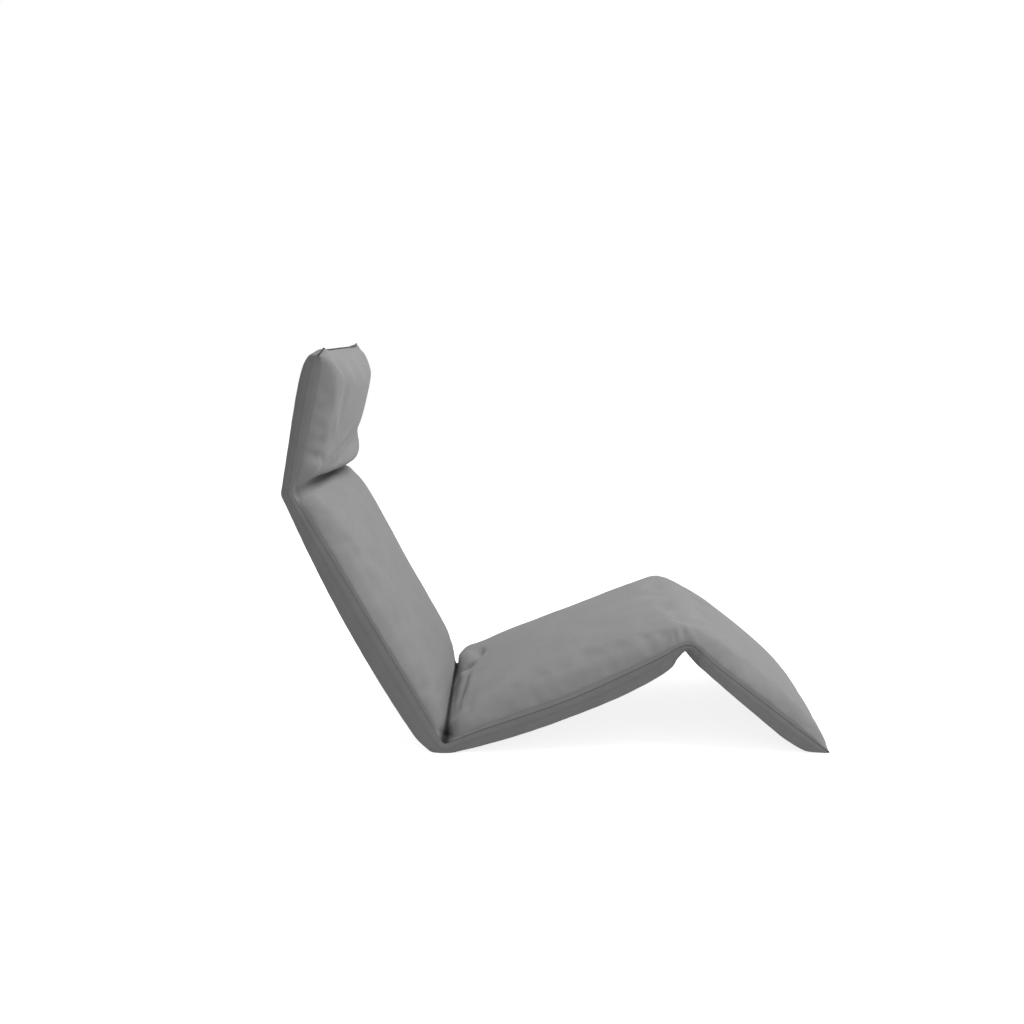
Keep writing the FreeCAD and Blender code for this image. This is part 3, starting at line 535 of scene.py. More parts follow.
def pad_rows(sizes):
    """Control rows of the whole pad from head end to toe: seam, crown and belly points in the XZ plane.

    Also the width and power of the lower edge at each row, and the middle row of each part as a mark.
    """
    sag = sizes.seam_sag * np.sin(np.pi * (SEAT_ROWS - SAG_START) / (SEAT_LENGTH - SAG_SHORT)) ** 2
    sag = sag - sizes.knee_lift * bell(SEAT_ROWS - SEAT_LENGTH, SEAT_KNEE_REACH)
    leg_sag = -sizes.knee_lift * bell(LEG_ROWS, LEG_KNEE_REACH)
    parts = {
        "head_end": [HEADREST.point(x, z) for x, z in HEAD_END],
        "headrest": plain_rows(HEADREST, HEAD_ROWS),
        "head_fold": inner_fold(
            HEAD, HEADREST, BACKREST, bend_of("head_tilt"), sizes.head_fold, HEAD_FOLD_SHIFT),
        "back_middle": plain_rows(BACKREST, BACK_ROWS),
        "hip_fold": inner_fold(
            HIP, BACKREST, SEAT, bend_of("hip_recline"), sizes.hip_fold, HIP_FOLD_SHIFT, HIP_HEEL),
        "seat_middle": plain_rows(SEAT, SEAT_ROWS, sag),
        "knee": outer_bend(KNEE, SEAT, LEGREST, bend_of("knee_lift"), sizes.knee_lift),
        "legrest": plain_rows(LEGREST, LEG_ROWS, leg_sag),
        "toe_end": [LEGREST.point(x, z) for x, z in TOE_END],
    }
    seam, crown, belly = (np.concatenate([rows[k] for rows in parts.values()]) for k in range(3))
    counts = [len(rows[0]) for rows in parts.values()]
    starts = np.cumsum(counts) - counts
    marks = {name: start + (count - 1) / 2 for name, start, count in zip(parts, starts, counts)}
    near_knee = bell(np.arange(len(seam)) - marks["knee"], KNEE_EDGE_ROWS)
    edge = EDGE_WIDTH + KNEE_EDGE_WIDTH * near_knee
    power = EDGE_POWER + KNEE_EDGE_POWER * near_knee
    return seam, crown, belly, np.stack((edge, power), axis=1), marks


def spline(control, steps):
    """Cubic B-spline of a control polygon, with steps samples a span, from its first point to its last."""
    before = 2 * control[:1] - control[1:2]
    after = 2 * control[-1:] - control[-2:-1]
    rows = np.concatenate((before, control, after))
    t = np.arange(steps) / steps
    second = 3 * t ** 3 - 6 * t ** 2 + 4
    third = -3 * t ** 3 + 3 * t ** 2 + 3 * t + 1
    basis = np.stack(((1 - t) ** 3, second, third, t ** 3)) / 6
    spans = np.stack([rows[k:k + len(control) - 1] for k in range(4)])
    curve = np.einsum("ks,kp...->ps...", basis, spans).reshape(-1, *control.shape[1:])
    return np.concatenate((curve, control[-1:]))


def crown_half(half, rise, count, corner_share=0.62, crowding=1.4):
    """Half a cross-section of the crown from seam to middle: a corner arc, then one wide arc tangent to it.

    Returns distances along the cloth, y and height as a share of the rise; places crowd towards the seam.
    """
    corner = corner_share * rise
    wide = (half ** 2 + rise ** 2 - 2 * half * corner) / (2 * (rise - corner))
    side = half - corner
    scale = side / (wide - corner)
    turn = math.atan2(corner * (wide - rise) / (wide - corner), corner * scale)
    lean = math.asin((side + corner * scale) / wide)
    length = corner * turn + wide * lean
    distance = length * np.linspace(0, 1, count) ** crowding
    theta = np.minimum(distance / corner, turn)
    phi = np.minimum(lean - (distance - corner * turn) / wide, lean)
    on_corner = distance < corner * turn
    y = np.where(on_corner, side + corner * np.cos(theta), wide * np.sin(phi))
    z = np.where(on_corner, corner * np.sin(theta), rise - wide + wide * np.cos(phi))
    return distance, y, z / rise


def mirrored(half, sign):
    """A half cross-section run on to the other side; sign is -1 for what changes sign there, or else 1."""
    return np.concatenate((sign * half, half[..., -2::-1]), axis=-1)


def finer(grid):
    """Twice as many rows and columns, through the old points: each new one lies on a four-point cubic."""
    for axis in (0, 1):
        moved = np.moveaxis(grid, axis, 0)
        padded = np.concatenate((2 * moved[:1] - moved[1:2], moved, 2 * moved[-1:] - moved[-2:-1]))
        middle = (9 * (padded[1:-2] + padded[2:-1]) - padded[:-3] - padded[3:]) / 16
        out = np.empty((2 * len(moved) - 1,) + moved.shape[1:])
        out[0::2] = moved
        out[1::2] = middle
        grid = np.moveaxis(out, 0, axis)
    return grid


def finer_line(values):
    """Twice as many values along a line, by the same cubic."""
    return finer(np.stack((values, values), axis=1))[:, 0]


def grid_normals(points):
    """Unit normals of a grid surface, from its two central differences."""
    return unit(np.cross(np.gradient(points, axis=0), np.gradient(points, axis=1)))


def run_length(points):
    """Distance run along a line of points."""
    steps = np.linalg.norm(np.diff(points, axis=0), axis=-1)
    return np.concatenate(((0.0,), np.cumsum(steps)))


def grid_faces(rows, columns):
    """Quads of a grid, as vertex numbers."""
    number = np.arange(rows * columns).reshape(rows, columns)
    quads = np.stack((number[:-1, :-1], number[1:, :-1], number[1:, 1:], number[:-1, 1:]), axis=-1)
    return quads.reshape(-1, 4)


def ring_faces(rings, sides, closed=False):
    """Quads between neighbouring rings of points, and from the last ring to the first where it is closed."""
    number = np.arange(rings * sides).reshape(rings, sides)
    ahead = np.roll(number, -1, axis=0)
    quads = np.stack((number, ahead, np.roll(ahead, -1, axis=1), np.roll(number, -1, axis=1)), axis=-1)
    return (quads if closed else quads[:-1]).reshape(-1, 4)


def mesh_object(name, points, faces, uv=None, values=None):
    """Object at the origin from vertex and quad arrays, with a UV map in metres and point attributes."""
    mesh = bpy.data.meshes.new(name)
    mesh.vertices.add(len(points))
    mesh.vertices.foreach_set("co", np.asarray(points, np.float32).ravel())
    mesh.loops.add(faces.size)
    mesh.loops.foreach_set("vertex_index", faces.astype(np.int32).ravel())
    mesh.polygons.add(len(faces))
    mesh.polygons.foreach_set("loop_start", np.arange(0, faces.size, faces.shape[1], dtype=np.int32))
    mesh.update(calc_edges=True)
    mesh.validate()
    mesh.polygons.foreach_set("use_smooth", np.ones(len(mesh.polygons), bool))
    if uv is not None:
        layer = mesh.uv_layers.new(name="cloth")
        layer.uv.foreach_set("vector", np.asarray(uv, np.float32)[faces.ravel()].ravel())
    for key, value in (values or {}).items():
        mesh.attributes.new(key, "FLOAT", "POINT").data.foreach_set("value", np.asarray(value, np.float32))
    obj = bpy.data.objects.new(name, mesh)
    bpy.context.scene.collection.objects.link(obj)
    return obj


class Pad:
    """Arrays of the whole pad that the operators share: rows, marks and the two finished panels."""

    steps = 4
    upper = None
    lower = None


def near_marks(names, reach):
    """How near each row lies to the named bends: the greatest of a bell round each."""
    return np.max([bell(Pad.run - Pad.run[Pad.marks[name]], reach) for name in names], axis=0)


def near_ends(reach):
    """How near each row lies to a free end, fading over the reach."""
    return fade(np.minimum(Pad.run, Pad.run[-1] - Pad.run), reach)


def build_pad(sizes):
    """Control rows to splines, kept on Pad with the row numbers of the marks.

    Where the cloth run will puff the crown up, between folds and ends, the crown is first cut lower.
    """
    seam, crown, belly, edge, marks = pad_rows(sizes)
    Pad.seam = spline(seam, Pad.steps)
    Pad.crown = spline(crown, Pad.steps)
    Pad.belly = spline(belly, Pad.steps)
    Pad.edge, Pad.power = spline(edge, Pad.steps).T
    Pad.marks = {name: int(round(row * Pad.steps)) for name, row in marks.items()}
    Pad.run = run_length(Pad.crown)
    held = np.maximum(near_marks(("head_fold", "hip_fold"), UPPER_HOLD_REACH), near_ends(SWELL_END_REACH))
    free = 1 - np.clip(HOLD * held, 0, 1)
    Pad.crown = Pad.crown - unit(Pad.crown - Pad.seam) * (sizes.swell * free)[:, None]


def calmed(move):
    """A grid of moves averaged with its neighbours at weights 1, 2, 1 both ways; the border stays."""
    out = move.copy()
    out[1:-1] = (move[:-2] + 2 * move[1:-1] + move[2:]) / 4
    again = out.copy()
    again[:, 1:-1] = (out[:, :-2] + 2 * out[:, 1:-1] + out[:, 2:]) / 4
    return again


def blown_out(name, points, pin, slack, puff):
    """Cloth run on a panel: held where pin is 1, cut with some slack, blown out by the filling and capped."""
    rows, columns = points.shape[:2]
    obj = mesh_object(name, points.reshape(-1, 3), grid_faces(rows, columns))
    group = obj.vertex_groups.new(name="held")
    level = np.round(pin.ravel() * PIN_LEVELS).astype(int)
    for step in range(1, PIN_LEVELS + 1):
        group.add(np.flatnonzero(level == step).tolist(), step / PIN_LEVELS, "REPLACE")
    cloth = obj.modifiers.new("Cloth", "CLOTH")
    for key, value in CLOTH.items():
        setattr(cloth.settings, key, value)
    cloth.settings.shrink_min = -slack
    cloth.settings.effector_weights.gravity = 0
    cloth.collision_settings.use_collision = False
    cloth.point_cache.frame_start = 1
    cloth.point_cache.frame_end = CLOTH_FRAMES
    for number in range(1, CLOTH_FRAMES + 1):
        bpy.context.scene.frame_set(number)
    shape = obj.evaluated_get(bpy.context.evaluated_depsgraph_get()).data
    moved = np.empty(len(shape.vertices) * 3, np.float32)
    shape.vertices.foreach_get("co", moved)
    bpy.data.objects.remove(obj)
    bpy.context.scene.frame_set(1)
    move = calmed(calmed(moved.reshape(points.shape) - points))
    length = np.linalg.norm(move, axis=-1, keepdims=True)
    return points + unit(move) * puff * np.tanh(length / puff)


def puffed(name, points, bends, reach, by_seam, slack, puff):
    """A panel after its cloth run, held at the bends, at the free ends and by the seams."""
    by_row = np.maximum(np.clip(HOLD * near_marks(bends, reach), 0, 1), near_ends(END_HOLD_REACH))
    return blown_out(name, points, np.maximum(by_row[:, None], by_seam), slack, puff)


def end_ears(points):
    """Sewn ends stand out as small ears: a bell across the pad at each ear that fades along it.

    The near corner of the head end is also drawn back, so its ear lies a little way in from the side.
    """
    side = HALF_WIDTH - np.abs(points[..., 1])
    near = points[..., 1] < 0
    flat = points[..., [0, 2]]
    head_run = np.linalg.norm(flat - HEADREST.point(-HEAD_LENGTH, 0.0), axis=-1)
    toe_run = np.linalg.norm(flat - LEGREST.point(LEG_LENGTH, 0.0), axis=-1)
    ear = (HEAD_EAR - NEAR_EAR_LESS * near) * bell(side - NEAR_EAR_IN * near, EAR_RADIUS)
    cut = CORNER_CUT * near * bell(side, CORNER_RADIUS)
    head = ear * bell(head_run, EAR_FADE) - cut * bell(head_run, CORNER_FADE)
    toe = TOE_EAR * bell(side, EAR_RADIUS) * bell(toe_run, EAR_FADE)
    points[..., [0, 2]] += np.multiply.outer(toe, LEGREST.along) - np.multiply.outer(head, HEADREST.along)
    return points


def sheet(seam, far, share, y, inset):
    """Points of a panel: each on the line from its row's seam point to its row's far point, at its share.

    Both sides are drawn in by the inset, and the ears of the ends are added.
    """
    flat = seam[:, None] + (far - seam)[:, None] * share[..., None]
    y = np.sign(y) * (np.abs(y) - inset)
    return end_ears(np.stack((flat[..., 0], y, flat[..., 1]), axis=-1))


def floor_pressed(z):
    """Heights with the floor under them: what would sink under it is pressed to just over it."""
    return FLOOR_SOFT * np.logaddexp(0.0, (z - FLOOR_LEVEL) / FLOOR_SOFT) + FLOOR_LEAST


def finished(points, seam_far, sizes, relief, crease):
    """A finer panel with its relief added along the normals, and its UV map and point values."""
    run = finer_line(Pad.run)[:, None]
    far = finer_line(seam_far)[None]
    across = np.sign(points[..., 1]) * (far.max() - far)
    points = points + grid_normals(points) * relief(sizes, run, far, across)[..., None]
    points[..., 2] = floor_pressed(points[..., 2])
    return {
        "points": points,
        "uv": np.stack(np.broadcast_arrays(run, across), axis=-1),
        "seam": np.broadcast_to(far, across.shape),
        "crease": np.broadcast_to(crease, across.shape),
    }


def ripple(run, wave, seed):
    """Uneven ripple along a line: three sines whose lengths and phases differ, between -1 and 1."""
    draw = np.random.RandomState(seed)
    lengths = wave * np.array((0.72, 1.0, 1.61))
    phases = draw.uniform(0, 2 * np.pi, 3)
    return sum(np.sin(2 * np.pi * run / length + phase) for length, phase in zip(lengths, phases)) / 3


def gathers(run, far, wave, seed, reach, gap):
    """Ripples along a side seam that start a gap away from it and fade over the reach."""
    return ripple(run, wave, seed) * beside(far, reach, gap)


def stitch_groove(far):
    """Narrow groove that the row of stitches presses into the cloth."""
    return -GROOVE_DEPTH * bell(far - GROOVE_PLACE, GROOVE_RADIUS)


def bump(run, across, at, size, turn, height):
    """Bell-shaped swelling on a panel: centred at a place, stretched to two radii and turned."""
    c = math.cos(math.radians(turn))
    s = math.sin(math.radians(turn))
    a = (run - at[0]) * c + (across - at[1]) * s
    b = (across - at[1]) * c - (run - at[0]) * s
    return height * bell(a, size[0]) * bell(b, size[1])


def fold_tuck(sizes):
    """How far the head and hip folds draw each row's flank in: a narrow bell over the fold's own rows."""
    row = np.arange(len(Pad.run))
    hip = bell((row - Pad.marks["hip_fold"]) / Pad.steps, HIP_TUCK_ROWS)
    head = bell((row - Pad.marks["head_fold"]) / Pad.steps, HEAD_TUCK_ROWS)
    return sizes.flank * (hip + HEAD_TUCK * head)


def upper_relief(sizes, run, far, across):
    """Height of the sewn and pressed detail on the upper cloth: stitch groove, gathers, rolls and dimples."""
    rows = {name: run[2 * row, 0] for name, row in Pad.marks.items()}
    along = run * np.where(across < 0, 1.0, UPPER_FAR_SIDE)
    height = sizes.pucker * gathers(along, far, *UPPER_GATHER)
    height = height + WIDE_RISE * gathers(along + WIDE_SLANT * across, far, *WIDE_GATHER)
    for fold, way, rise, wave, seed, slant, reach, gap in FOLD_RIPPLES:
        beyond = run - rows[fold]
        rippled = ripple(across + slant * beyond, wave, seed)
        height = height + rise * rippled * beside(way * beyond, reach, gap)
    for fold, rolls in ROLLS.items():
        for roll in rolls:
            height = height + bump(run - rows[fold], across, *roll)
    knee = run - rows["knee"]
    pleat = bell(knee - PLEAT_ALONG[0], PLEAT_ALONG[1]) * bell(far - PLEAT_ACROSS[0], PLEAT_ACROSS[1])
    height = height + PLEAT_RISE * pleat * np.sin(2 * np.pi * (knee + PLEAT_SLANT * far) / PLEAT_WAVE)
    sewn = 1 - bell(far, SEWN_REACH)
    calm = 1.0
    for name in ("back_middle", "seat_middle"):
        calm = calm * (1 - CALM * bell(run - rows[name], CALM_REACH))
    return (stitch_groove(far) + height * sewn) * calm


def upper_panel(sizes):
    """Cloth of the crown side on a grid of rows along the pad and columns from seam to seam.

    Each point lies on the straight line from its row's seam point to its crown point, at the cross-section's
    share of the rise; the seam is drawn in, the panel is blown out, then gathers and creases are added, and
    the painted shade for the folds' creases is worked out.
    """
    distance, half_y, half_z = crown_half(HALF_WIDTH, CROWN_RISE, CROWN_COLUMNS)
    seam_far = mirrored(distance, 1)
    tuck = fold_tuck(sizes)
    flank = np.clip(seam_far / TUCK_START, 0, 1) * np.clip((TUCK_END - seam_far) / TUCK_FADE, 0, 1)
    inset = sizes.seam_inset * bell(seam_far, SEAM_RADIUS) + tuck[:, None] * flank
    points = sheet(Pad.seam, Pad.crown, mirrored(half_z, 1), mirrored(half_y, -1), inset)
    points = puffed("upper_cloth", points, ("head_fold", "hip_fold"), UPPER_HOLD_REACH,
                    fade(seam_far, UPPER_SEAM_HOLD), sizes.slack, sizes.puff)
    # Painted shade for the folds' creases: the cloth's colour is darkened most where a fold draws the flank in
    # furthest
    crease = np.clip(CREASE_SHADE_GAIN * (finer_line(tuck) / sizes.flank) ** 2, 0, 1)
    Pad.upper = finished(finer(points), seam_far, sizes, upper_relief, crease[:, None])


def lower_relief(sizes, run, far, across):
    """Height of the sewn detail on the lower cloth: stitch groove and gathers."""
    along = run * np.where(across < 0, 1.0, LOWER_FAR_SIDE)
    return stitch_groove(far) + LOWER_SHARE * sizes.pucker * gathers(along, far, *LOWER_GATHER)


def lower_panel(sizes):
    """Cloth of the underside on a grid of rows along the pad and columns from seam to seam.

    From the seam it stands down, rounds the lower edge on a superellipse quarter and runs under the pad with
    a slight swell; the drop of each row scales it. It is pressed flat where it stands on the floor.
    """
    theta = np.linspace(0, np.pi / 2, EDGE_COLUMNS)
    inward = np.linspace(0, 1, BELLY_COLUMNS + 1)[1:]
    edge = Pad.edge[:, None]
    power = Pad.power[:, None]
    edge_y = HALF_WIDTH - edge * (1 - np.maximum(np.cos(theta), 0) ** power)
    half_y = np.concatenate((edge_y, (HALF_WIDTH - edge) * (1 - inward)), axis=1)
    swell = np.broadcast_to(1 + BELLY_SWELL * (1 - (1 - inward) ** 2), (len(edge), BELLY_COLUMNS))
    share = mirrored(np.concatenate((np.sin(theta) ** power, swell), axis=1), 1)
    reach = np.concatenate((EDGE_REACH * theta / theta[-1], EDGE_REACH + BELLY_REACH * inward))
    seam_far = mirrored(reach, 1)
    drop = np.linalg.norm(Pad.belly - Pad.seam, axis=1)[:, None]
    inset = sizes.seam_inset * bell(share * drop, SEAM_RADIUS)
    points = sheet(Pad.seam, Pad.belly, share, mirrored(half_y, -1), inset)[:, ::-1]
    points[..., 2] = floor_pressed(points[..., 2])
    points = puffed("lower_cloth", points, ("head_fold", "hip_fold", "knee"), LOWER_HOLD_REACH,
                    np.clip(LOWER_SEAM_FULL - seam_far / LOWER_SEAM_HOLD, 0, 1),
                    LOWER_SLACK * sizes.slack, LOWER_PUFF * sizes.puff)
    points[..., 2] = floor_pressed(points[..., 2])
    Pad.lower = finished(zip_flattened(finer(points)), seam_far, sizes, lower_relief, 0.0)


def seat_place(points):
    """Place along the seat, from the hip axis, of points in the frame."""
    return (points[..., [0, 2]] - HIP) @ SEAT.along


def zip_flattened(points):
    """Lower cloth drawn straight across along the zip: a bell along the seat, full between the zip's ends."""
    middle = points.shape[1] // 2
    edge = np.argmin(np.abs(points[:, :middle, 1] - ZIP_FLAT_EDGE), axis=1)
    rows = np.arange(len(points))
    straight = (points[rows, edge] + points[rows, -1 - edge]) / 2
    on_seat = (rows > 2 * Pad.marks["hip_fold"]) & (rows < 2 * Pad.marks["knee"])
    along = on_seat * np.exp(-((seat_place(points[:, middle]) - ZIP_PLACE) / ZIP_FLAT_REACH) ** 4)
    wide = np.clip((ZIP_FLAT_END - np.abs(points[..., 1])) / ZIP_FLAT_REACH, 0, 1)
    pull = (along[:, None] * wide * wide * (3 - 2 * wide))[..., None]
    points[..., [0, 2]] = points[..., [0, 2]] * (1 - pull) + straight[:, None][..., [0, 2]] * pull
    return points


def span_rows(panel, start, end):
    """Row numbers of a piece in a finished panel, both split rows included."""
    first = 0 if start is None else 2 * Pad.marks[start]
    last = len(panel["points"]) if end is None else 2 * Pad.marks[end] + 1
    return slice(first, last)


def blend_over(obj):
    """Bakes a piece's transform into its mesh."""
    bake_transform(obj)


def panel_pieces(kind, panel, material):
    """Cuts a finished panel into its three pieces, each of which spans one joint."""
    pieces = []
    for name, before, after, joint, reach, start, end in PANEL_SPANS:
        rows = span_rows(panel, start, end)
        points = panel["points"][rows]
        values = {"seam_far": panel["seam"][rows].ravel(), "crease": panel["crease"][rows].ravel()}
        obj = mesh_object(f"{kind}_cloth_{name}", points.reshape(-1, 3), grid_faces(*points.shape[:2]),
                          panel["uv"][rows].reshape(-1, 2), values)
        obj.data.materials.append(material)
        blend_over(obj)
        pieces.append(obj)
    return pieces


def at_places(values, run, places):
    """Vectors along a path at distances run along it."""
    return np.stack([np.interp(places, run, values[:, k]) for k in range(3)], axis=1)


def seam_stitches(path, normal, pitch):
    """Thread dashes along a seam: a spindle per stitch, laid along the cloth with both ends sunk into it.

    Each spindle is four rings of six points; its rings are set out along the path's direction at every pitch.
    """
    run = run_length(path)
    places = np.arange(0.5 * pitch, run[-1], pitch)
    centre = at_places(path, run, places)[:, None, None]
    out = at_places(normal, run, places)[:, None, None]
    ahead = unit(at_places(path, run, places + STITCH_AHEAD)[:, None, None] - centre)
    side = np.cross(out, ahead)
    length = pitch * np.array((-0.36, -0.22, 0.22, 0.36))
    thick = STITCH_RADIUS * np.array((0.35, 1.0, 1.0, 0.35))
    lift = STITCH_RADIUS * np.array((-0.7, 0.35, 0.35, -0.7))
    angle = np.linspace(0, 2 * np.pi, 6, endpoint=False)
    flat = np.multiply.outer(thick, np.cos(angle))[..., None]
    tall = (np.multiply.outer(thick, np.sin(angle)) + lift[:, None])[..., None]
    points = centre + length[:, None, None] * ahead + flat * side + tall * out
    return points.reshape(-1, 3), repeated(ring_faces(len(length), len(angle)), flat.size, len(places))


def repeated(faces, points, count):
    """Faces of a number of like pieces, each with so many points."""
    return (faces + points * np.arange(count)[:, None, None]).reshape(-1, 4)


def merged(first, second):
    """One set of points and faces from two."""
    return np.concatenate((first[0], second[0])), np.concatenate((first[1], second[1] + len(first[0])))


def round_rings(path, side, out, radius, sides):
    """A circle of points round each point of a path, in the plane of two unit vectors."""
    angle = np.linspace(0, 2 * np.pi, sides, endpoint=False)[:, None]
    circle = np.cos(angle) * side[:, None] + np.sin(angle) * out[:, None]
    return (path[:, None] + np.reshape(radius, (-1, 1, 1)) * circle).reshape(-1, 3)


def tube_along(path, radius, sides=10):
    """Round tape carried along a path: rings of points square to the path, drawn in at both ends."""
    steep = np.array((0.31, 0.05, 0.95))
    ahead = unit(np.gradient(path, axis=0))
    side = unit(np.cross(ahead, steep))
    size = np.full(len(path), radius)
    size[[0, -1]] *= TAPE_END_SIZES[0]
    size[[1, -2]] *= TAPE_END_SIZES[1]
    points = round_rings(path, side, np.cross(ahead, side), size, sides)
    return points, ring_faces(len(path), sides)[:, ::-1]


def ring_tube(path, radius, sides=8):
    """Closed wire along a closed path on the seat's underside: circles square to it, joined round."""
    ahead = unit(np.roll(path, -1, axis=0) - np.roll(path, 1, axis=0))
    out = np.broadcast_to(SEAT_DOWN, path.shape)
    points = round_rings(path, np.cross(out, ahead), out, radius, sides)
    return points, ring_faces(len(path), sides, closed=True)


def on_lower(place, y, lift):
    """Points on the lower cloth at places along the seat and y across it, lifted off the cloth downwards.

    The cloth's row at each place lies between two grid rows, and the point between two columns of that row.
    """
    place, y, lift = np.broadcast_arrays(place, y, lift)
    points = Pad.lower["points"]
    first = 2 * Pad.marks["hip_fold"] + ZIP_ROWS_CLEAR
    last = 2 * Pad.marks["knee"] - ZIP_ROWS_CLEAR
    middle = seat_place(points[first:last, points.shape[1] // 2])
    row = np.interp(place.ravel(), middle, np.arange(first, last))
    low = np.floor(row).astype(int)
    part = (row - low)[:, None, None]
    lines = points[low] * (1 - part) + points[low + 1] * part
    column = np.sum(lines[..., 1] >= y.reshape(-1, 1), axis=1) - 1
    number = np.arange(len(lines))
    left = lines[number, column]
    right = lines[number, column + 1]
    t = ((left[:, 1] - y.ravel()) / (left[:, 1] - right[:, 1]))[:, None]
    spots = left * (1 - t) + right * t + np.multiply.outer(lift.ravel(), SEAT_DOWN)
    return spots.reshape(place.shape + (3,))


def zip_tape():
    """Woven tape of the zip: a strip on the lower cloth, its edges tucked in and its middle dipped."""
    y = np.linspace(ZIP_HALF, -ZIP_HALF, TAPE_STEPS)
    points = on_lower(ZIP_PLACE + TAPE_HALF * TAPE_ACROSS[:, None], y, TAPE_LIFT[:, None])
    return points.reshape(-1, 3), grid_faces(len(TAPE_ACROSS), TAPE_STEPS)


def zip_blocks(place, y, size, taper):
    """Small blocks on the cloth, each a base and a smaller top, with a size along, across and high."""
    corner = np.array(((-1, -1), (1, -1), (1, 1), (-1, 1)), float) / 2
    flat = corner[:, :1] * SEAT_ALONG * size[0] + corner[:, 1:] * ACROSS * size[1]
    block = np.concatenate((flat, flat * taper + SEAT_DOWN * size[2]))
    points = on_lower(place, y, BLOCK_BASE)[:, None] + block
    quads = np.array(((0, 1, 2, 3), (7, 6, 5, 4), (0, 4, 5, 1), (1, 5, 6, 2), (2, 6, 7, 3), (3, 7, 4, 0)))
    return points.reshape(-1, 3), repeated(quads, len(block), len(points))


def zip_teeth():
    """Two staggered rows of teeth in one line, and a stop at each end."""
    count = int((2 * ZIP_HALF - 2 * TOOTH_CLEAR) / TOOTH_PITCH)
    end = ZIP_HALF - TOOTH_CLEAR
    stop = ZIP_HALF - STOP_CLEAR
    stagger = TOOTH_STAGGER * np.where(np.arange(count) % 2 == 0, 1.0, -1.0)
    teeth = zip_blocks(ZIP_PLACE + stagger, np.linspace(-end, end, count), TOOTH, TOOTH_TAPER)
    stops = zip_blocks(ZIP_PLACE, np.array((-stop, stop)), STOP, STOP_TAPER)
    return merged(teeth, stops)


def slider_shell(y):
    """Zip slider's body: a shield-shaped outline carried down in levels that draw in to a rounded cap."""
    turn = np.linspace(0, 2 * np.pi, SHELL_SIDES, endpoint=False)[:, None]
    wide = SHELL_WIDE + SHELL_LEAN * np.cos(turn)
    outline = wide * np.sin(turn) * SEAT_ALONG + SHELL_LONG * np.cos(turn) * ACROSS
    rings = SHELL_SIZES[:, None, None] * outline + SHELL_LEVELS[:, None, None] * SEAT_DOWN
    points = on_lower(ZIP_PLACE, y, 0.0) + rings
    return points.reshape(-1, 3), ring_faces(len(SHELL_SIZES), SHELL_SIDES)


def slider_pull(y):
    """Wire pull of the slider: a long loop whose corners are rounded as a superellipse."""
    loop = np.linspace(0, 2 * np.pi, 40, endpoint=False)
    along, across = (np.sign(wave) * np.abs(wave) ** PULL_POWER for wave in (np.sin(loop), np.cos(loop)))
    path = on_lower(ZIP_PLACE + PULL_HALF[0] * along, y - PULL_AWAY + PULL_HALF[1] * across, PULL_LIFT)
    return ring_tube(path, PULL_WIRE)


class Nodes:
    """Short hand for building the nodes of a material or world."""

    def __init__(self, owner):
        owner.use_nodes = True
        self.owner = owner
        self.tree = owner.node_tree
        self.shader = self.tree.nodes.get("Principled BSDF")

    def add(self, kind, inputs=None, **settings):
        """Adds a node; inputs are values or output sockets by name or number."""
        node = self.tree.nodes.new(kind)
        for key, value in settings.items():
            setattr(node, key, value)
        self.put(node, inputs or {})
        return node

    def put(self, node, inputs):
        """Links outputs to a node's inputs, or sets the inputs' own values."""
        for key, value in inputs.items():
            if isinstance(value, bpy.types.NodeSocket):
                self.tree.links.new(value, node.inputs[key])
            else:
                node.inputs[key].default_value = value

    def math(self, operation, a, b):
        """Two values joined by an operation."""
        return self.add("ShaderNodeMath", {0: a, 1: b}, operation=operation).outputs[0]

    def times(self, a, b):
        """Two colours multiplied."""
        inputs = {"Factor": 1.0, 6: a, 7: b}
        return self.add("ShaderNodeMix", inputs, data_type="RGBA", blend_type="MULTIPLY").outputs[2]

    def ramp(self, fac, *stops):
        """Colour ramp with (place, grey) stops."""
        node = self.add("ShaderNodeValToRGB", {"Fac": fac})
        for element, (place, grey) in zip(node.color_ramp.elements, stops):
            element.position = place
            element.color = (grey, grey, grey, 1.0)
        return node.outputs["Color"]

    def noise(self, where, scale, detail, roughness=0.5):
        """Noise at a scale per metre."""
        inputs = {"Vector": where, "Scale": scale, "Detail": detail, "Roughness": roughness}
        return self.add("ShaderNodeTexNoise", inputs).outputs["Fac"]

    def weave(self, where, pitch, **looks):
        """Crossed yarns at a pitch: two waves of bands, multiplied."""
        inputs = {"Vector": where, "Scale": 2 * math.pi / (20 * pitch), **looks}
        warp = self.add("ShaderNodeTexWave", inputs, bands_direction="X").outputs["Fac"]
        weft = self.add("ShaderNodeTexWave", inputs, bands_direction="Y").outputs["Fac"]
        return self.math("MULTIPLY", warp, weft)

    def between(self, value, low, high):
        """A value from 0 to 1 brought between two others."""
        inputs = {"Value": value, "To Min": low, "To Max": high}
        return self.add("ShaderNodeMapRange", inputs).outputs["Result"]

    def bump(self, height, strength, distance, **more):
        """Bump of a height."""
        inputs = {"Height": height, "Strength": strength, "Distance": distance, **more}
        return self.add("ShaderNodeBump", inputs).outputs["Normal"]


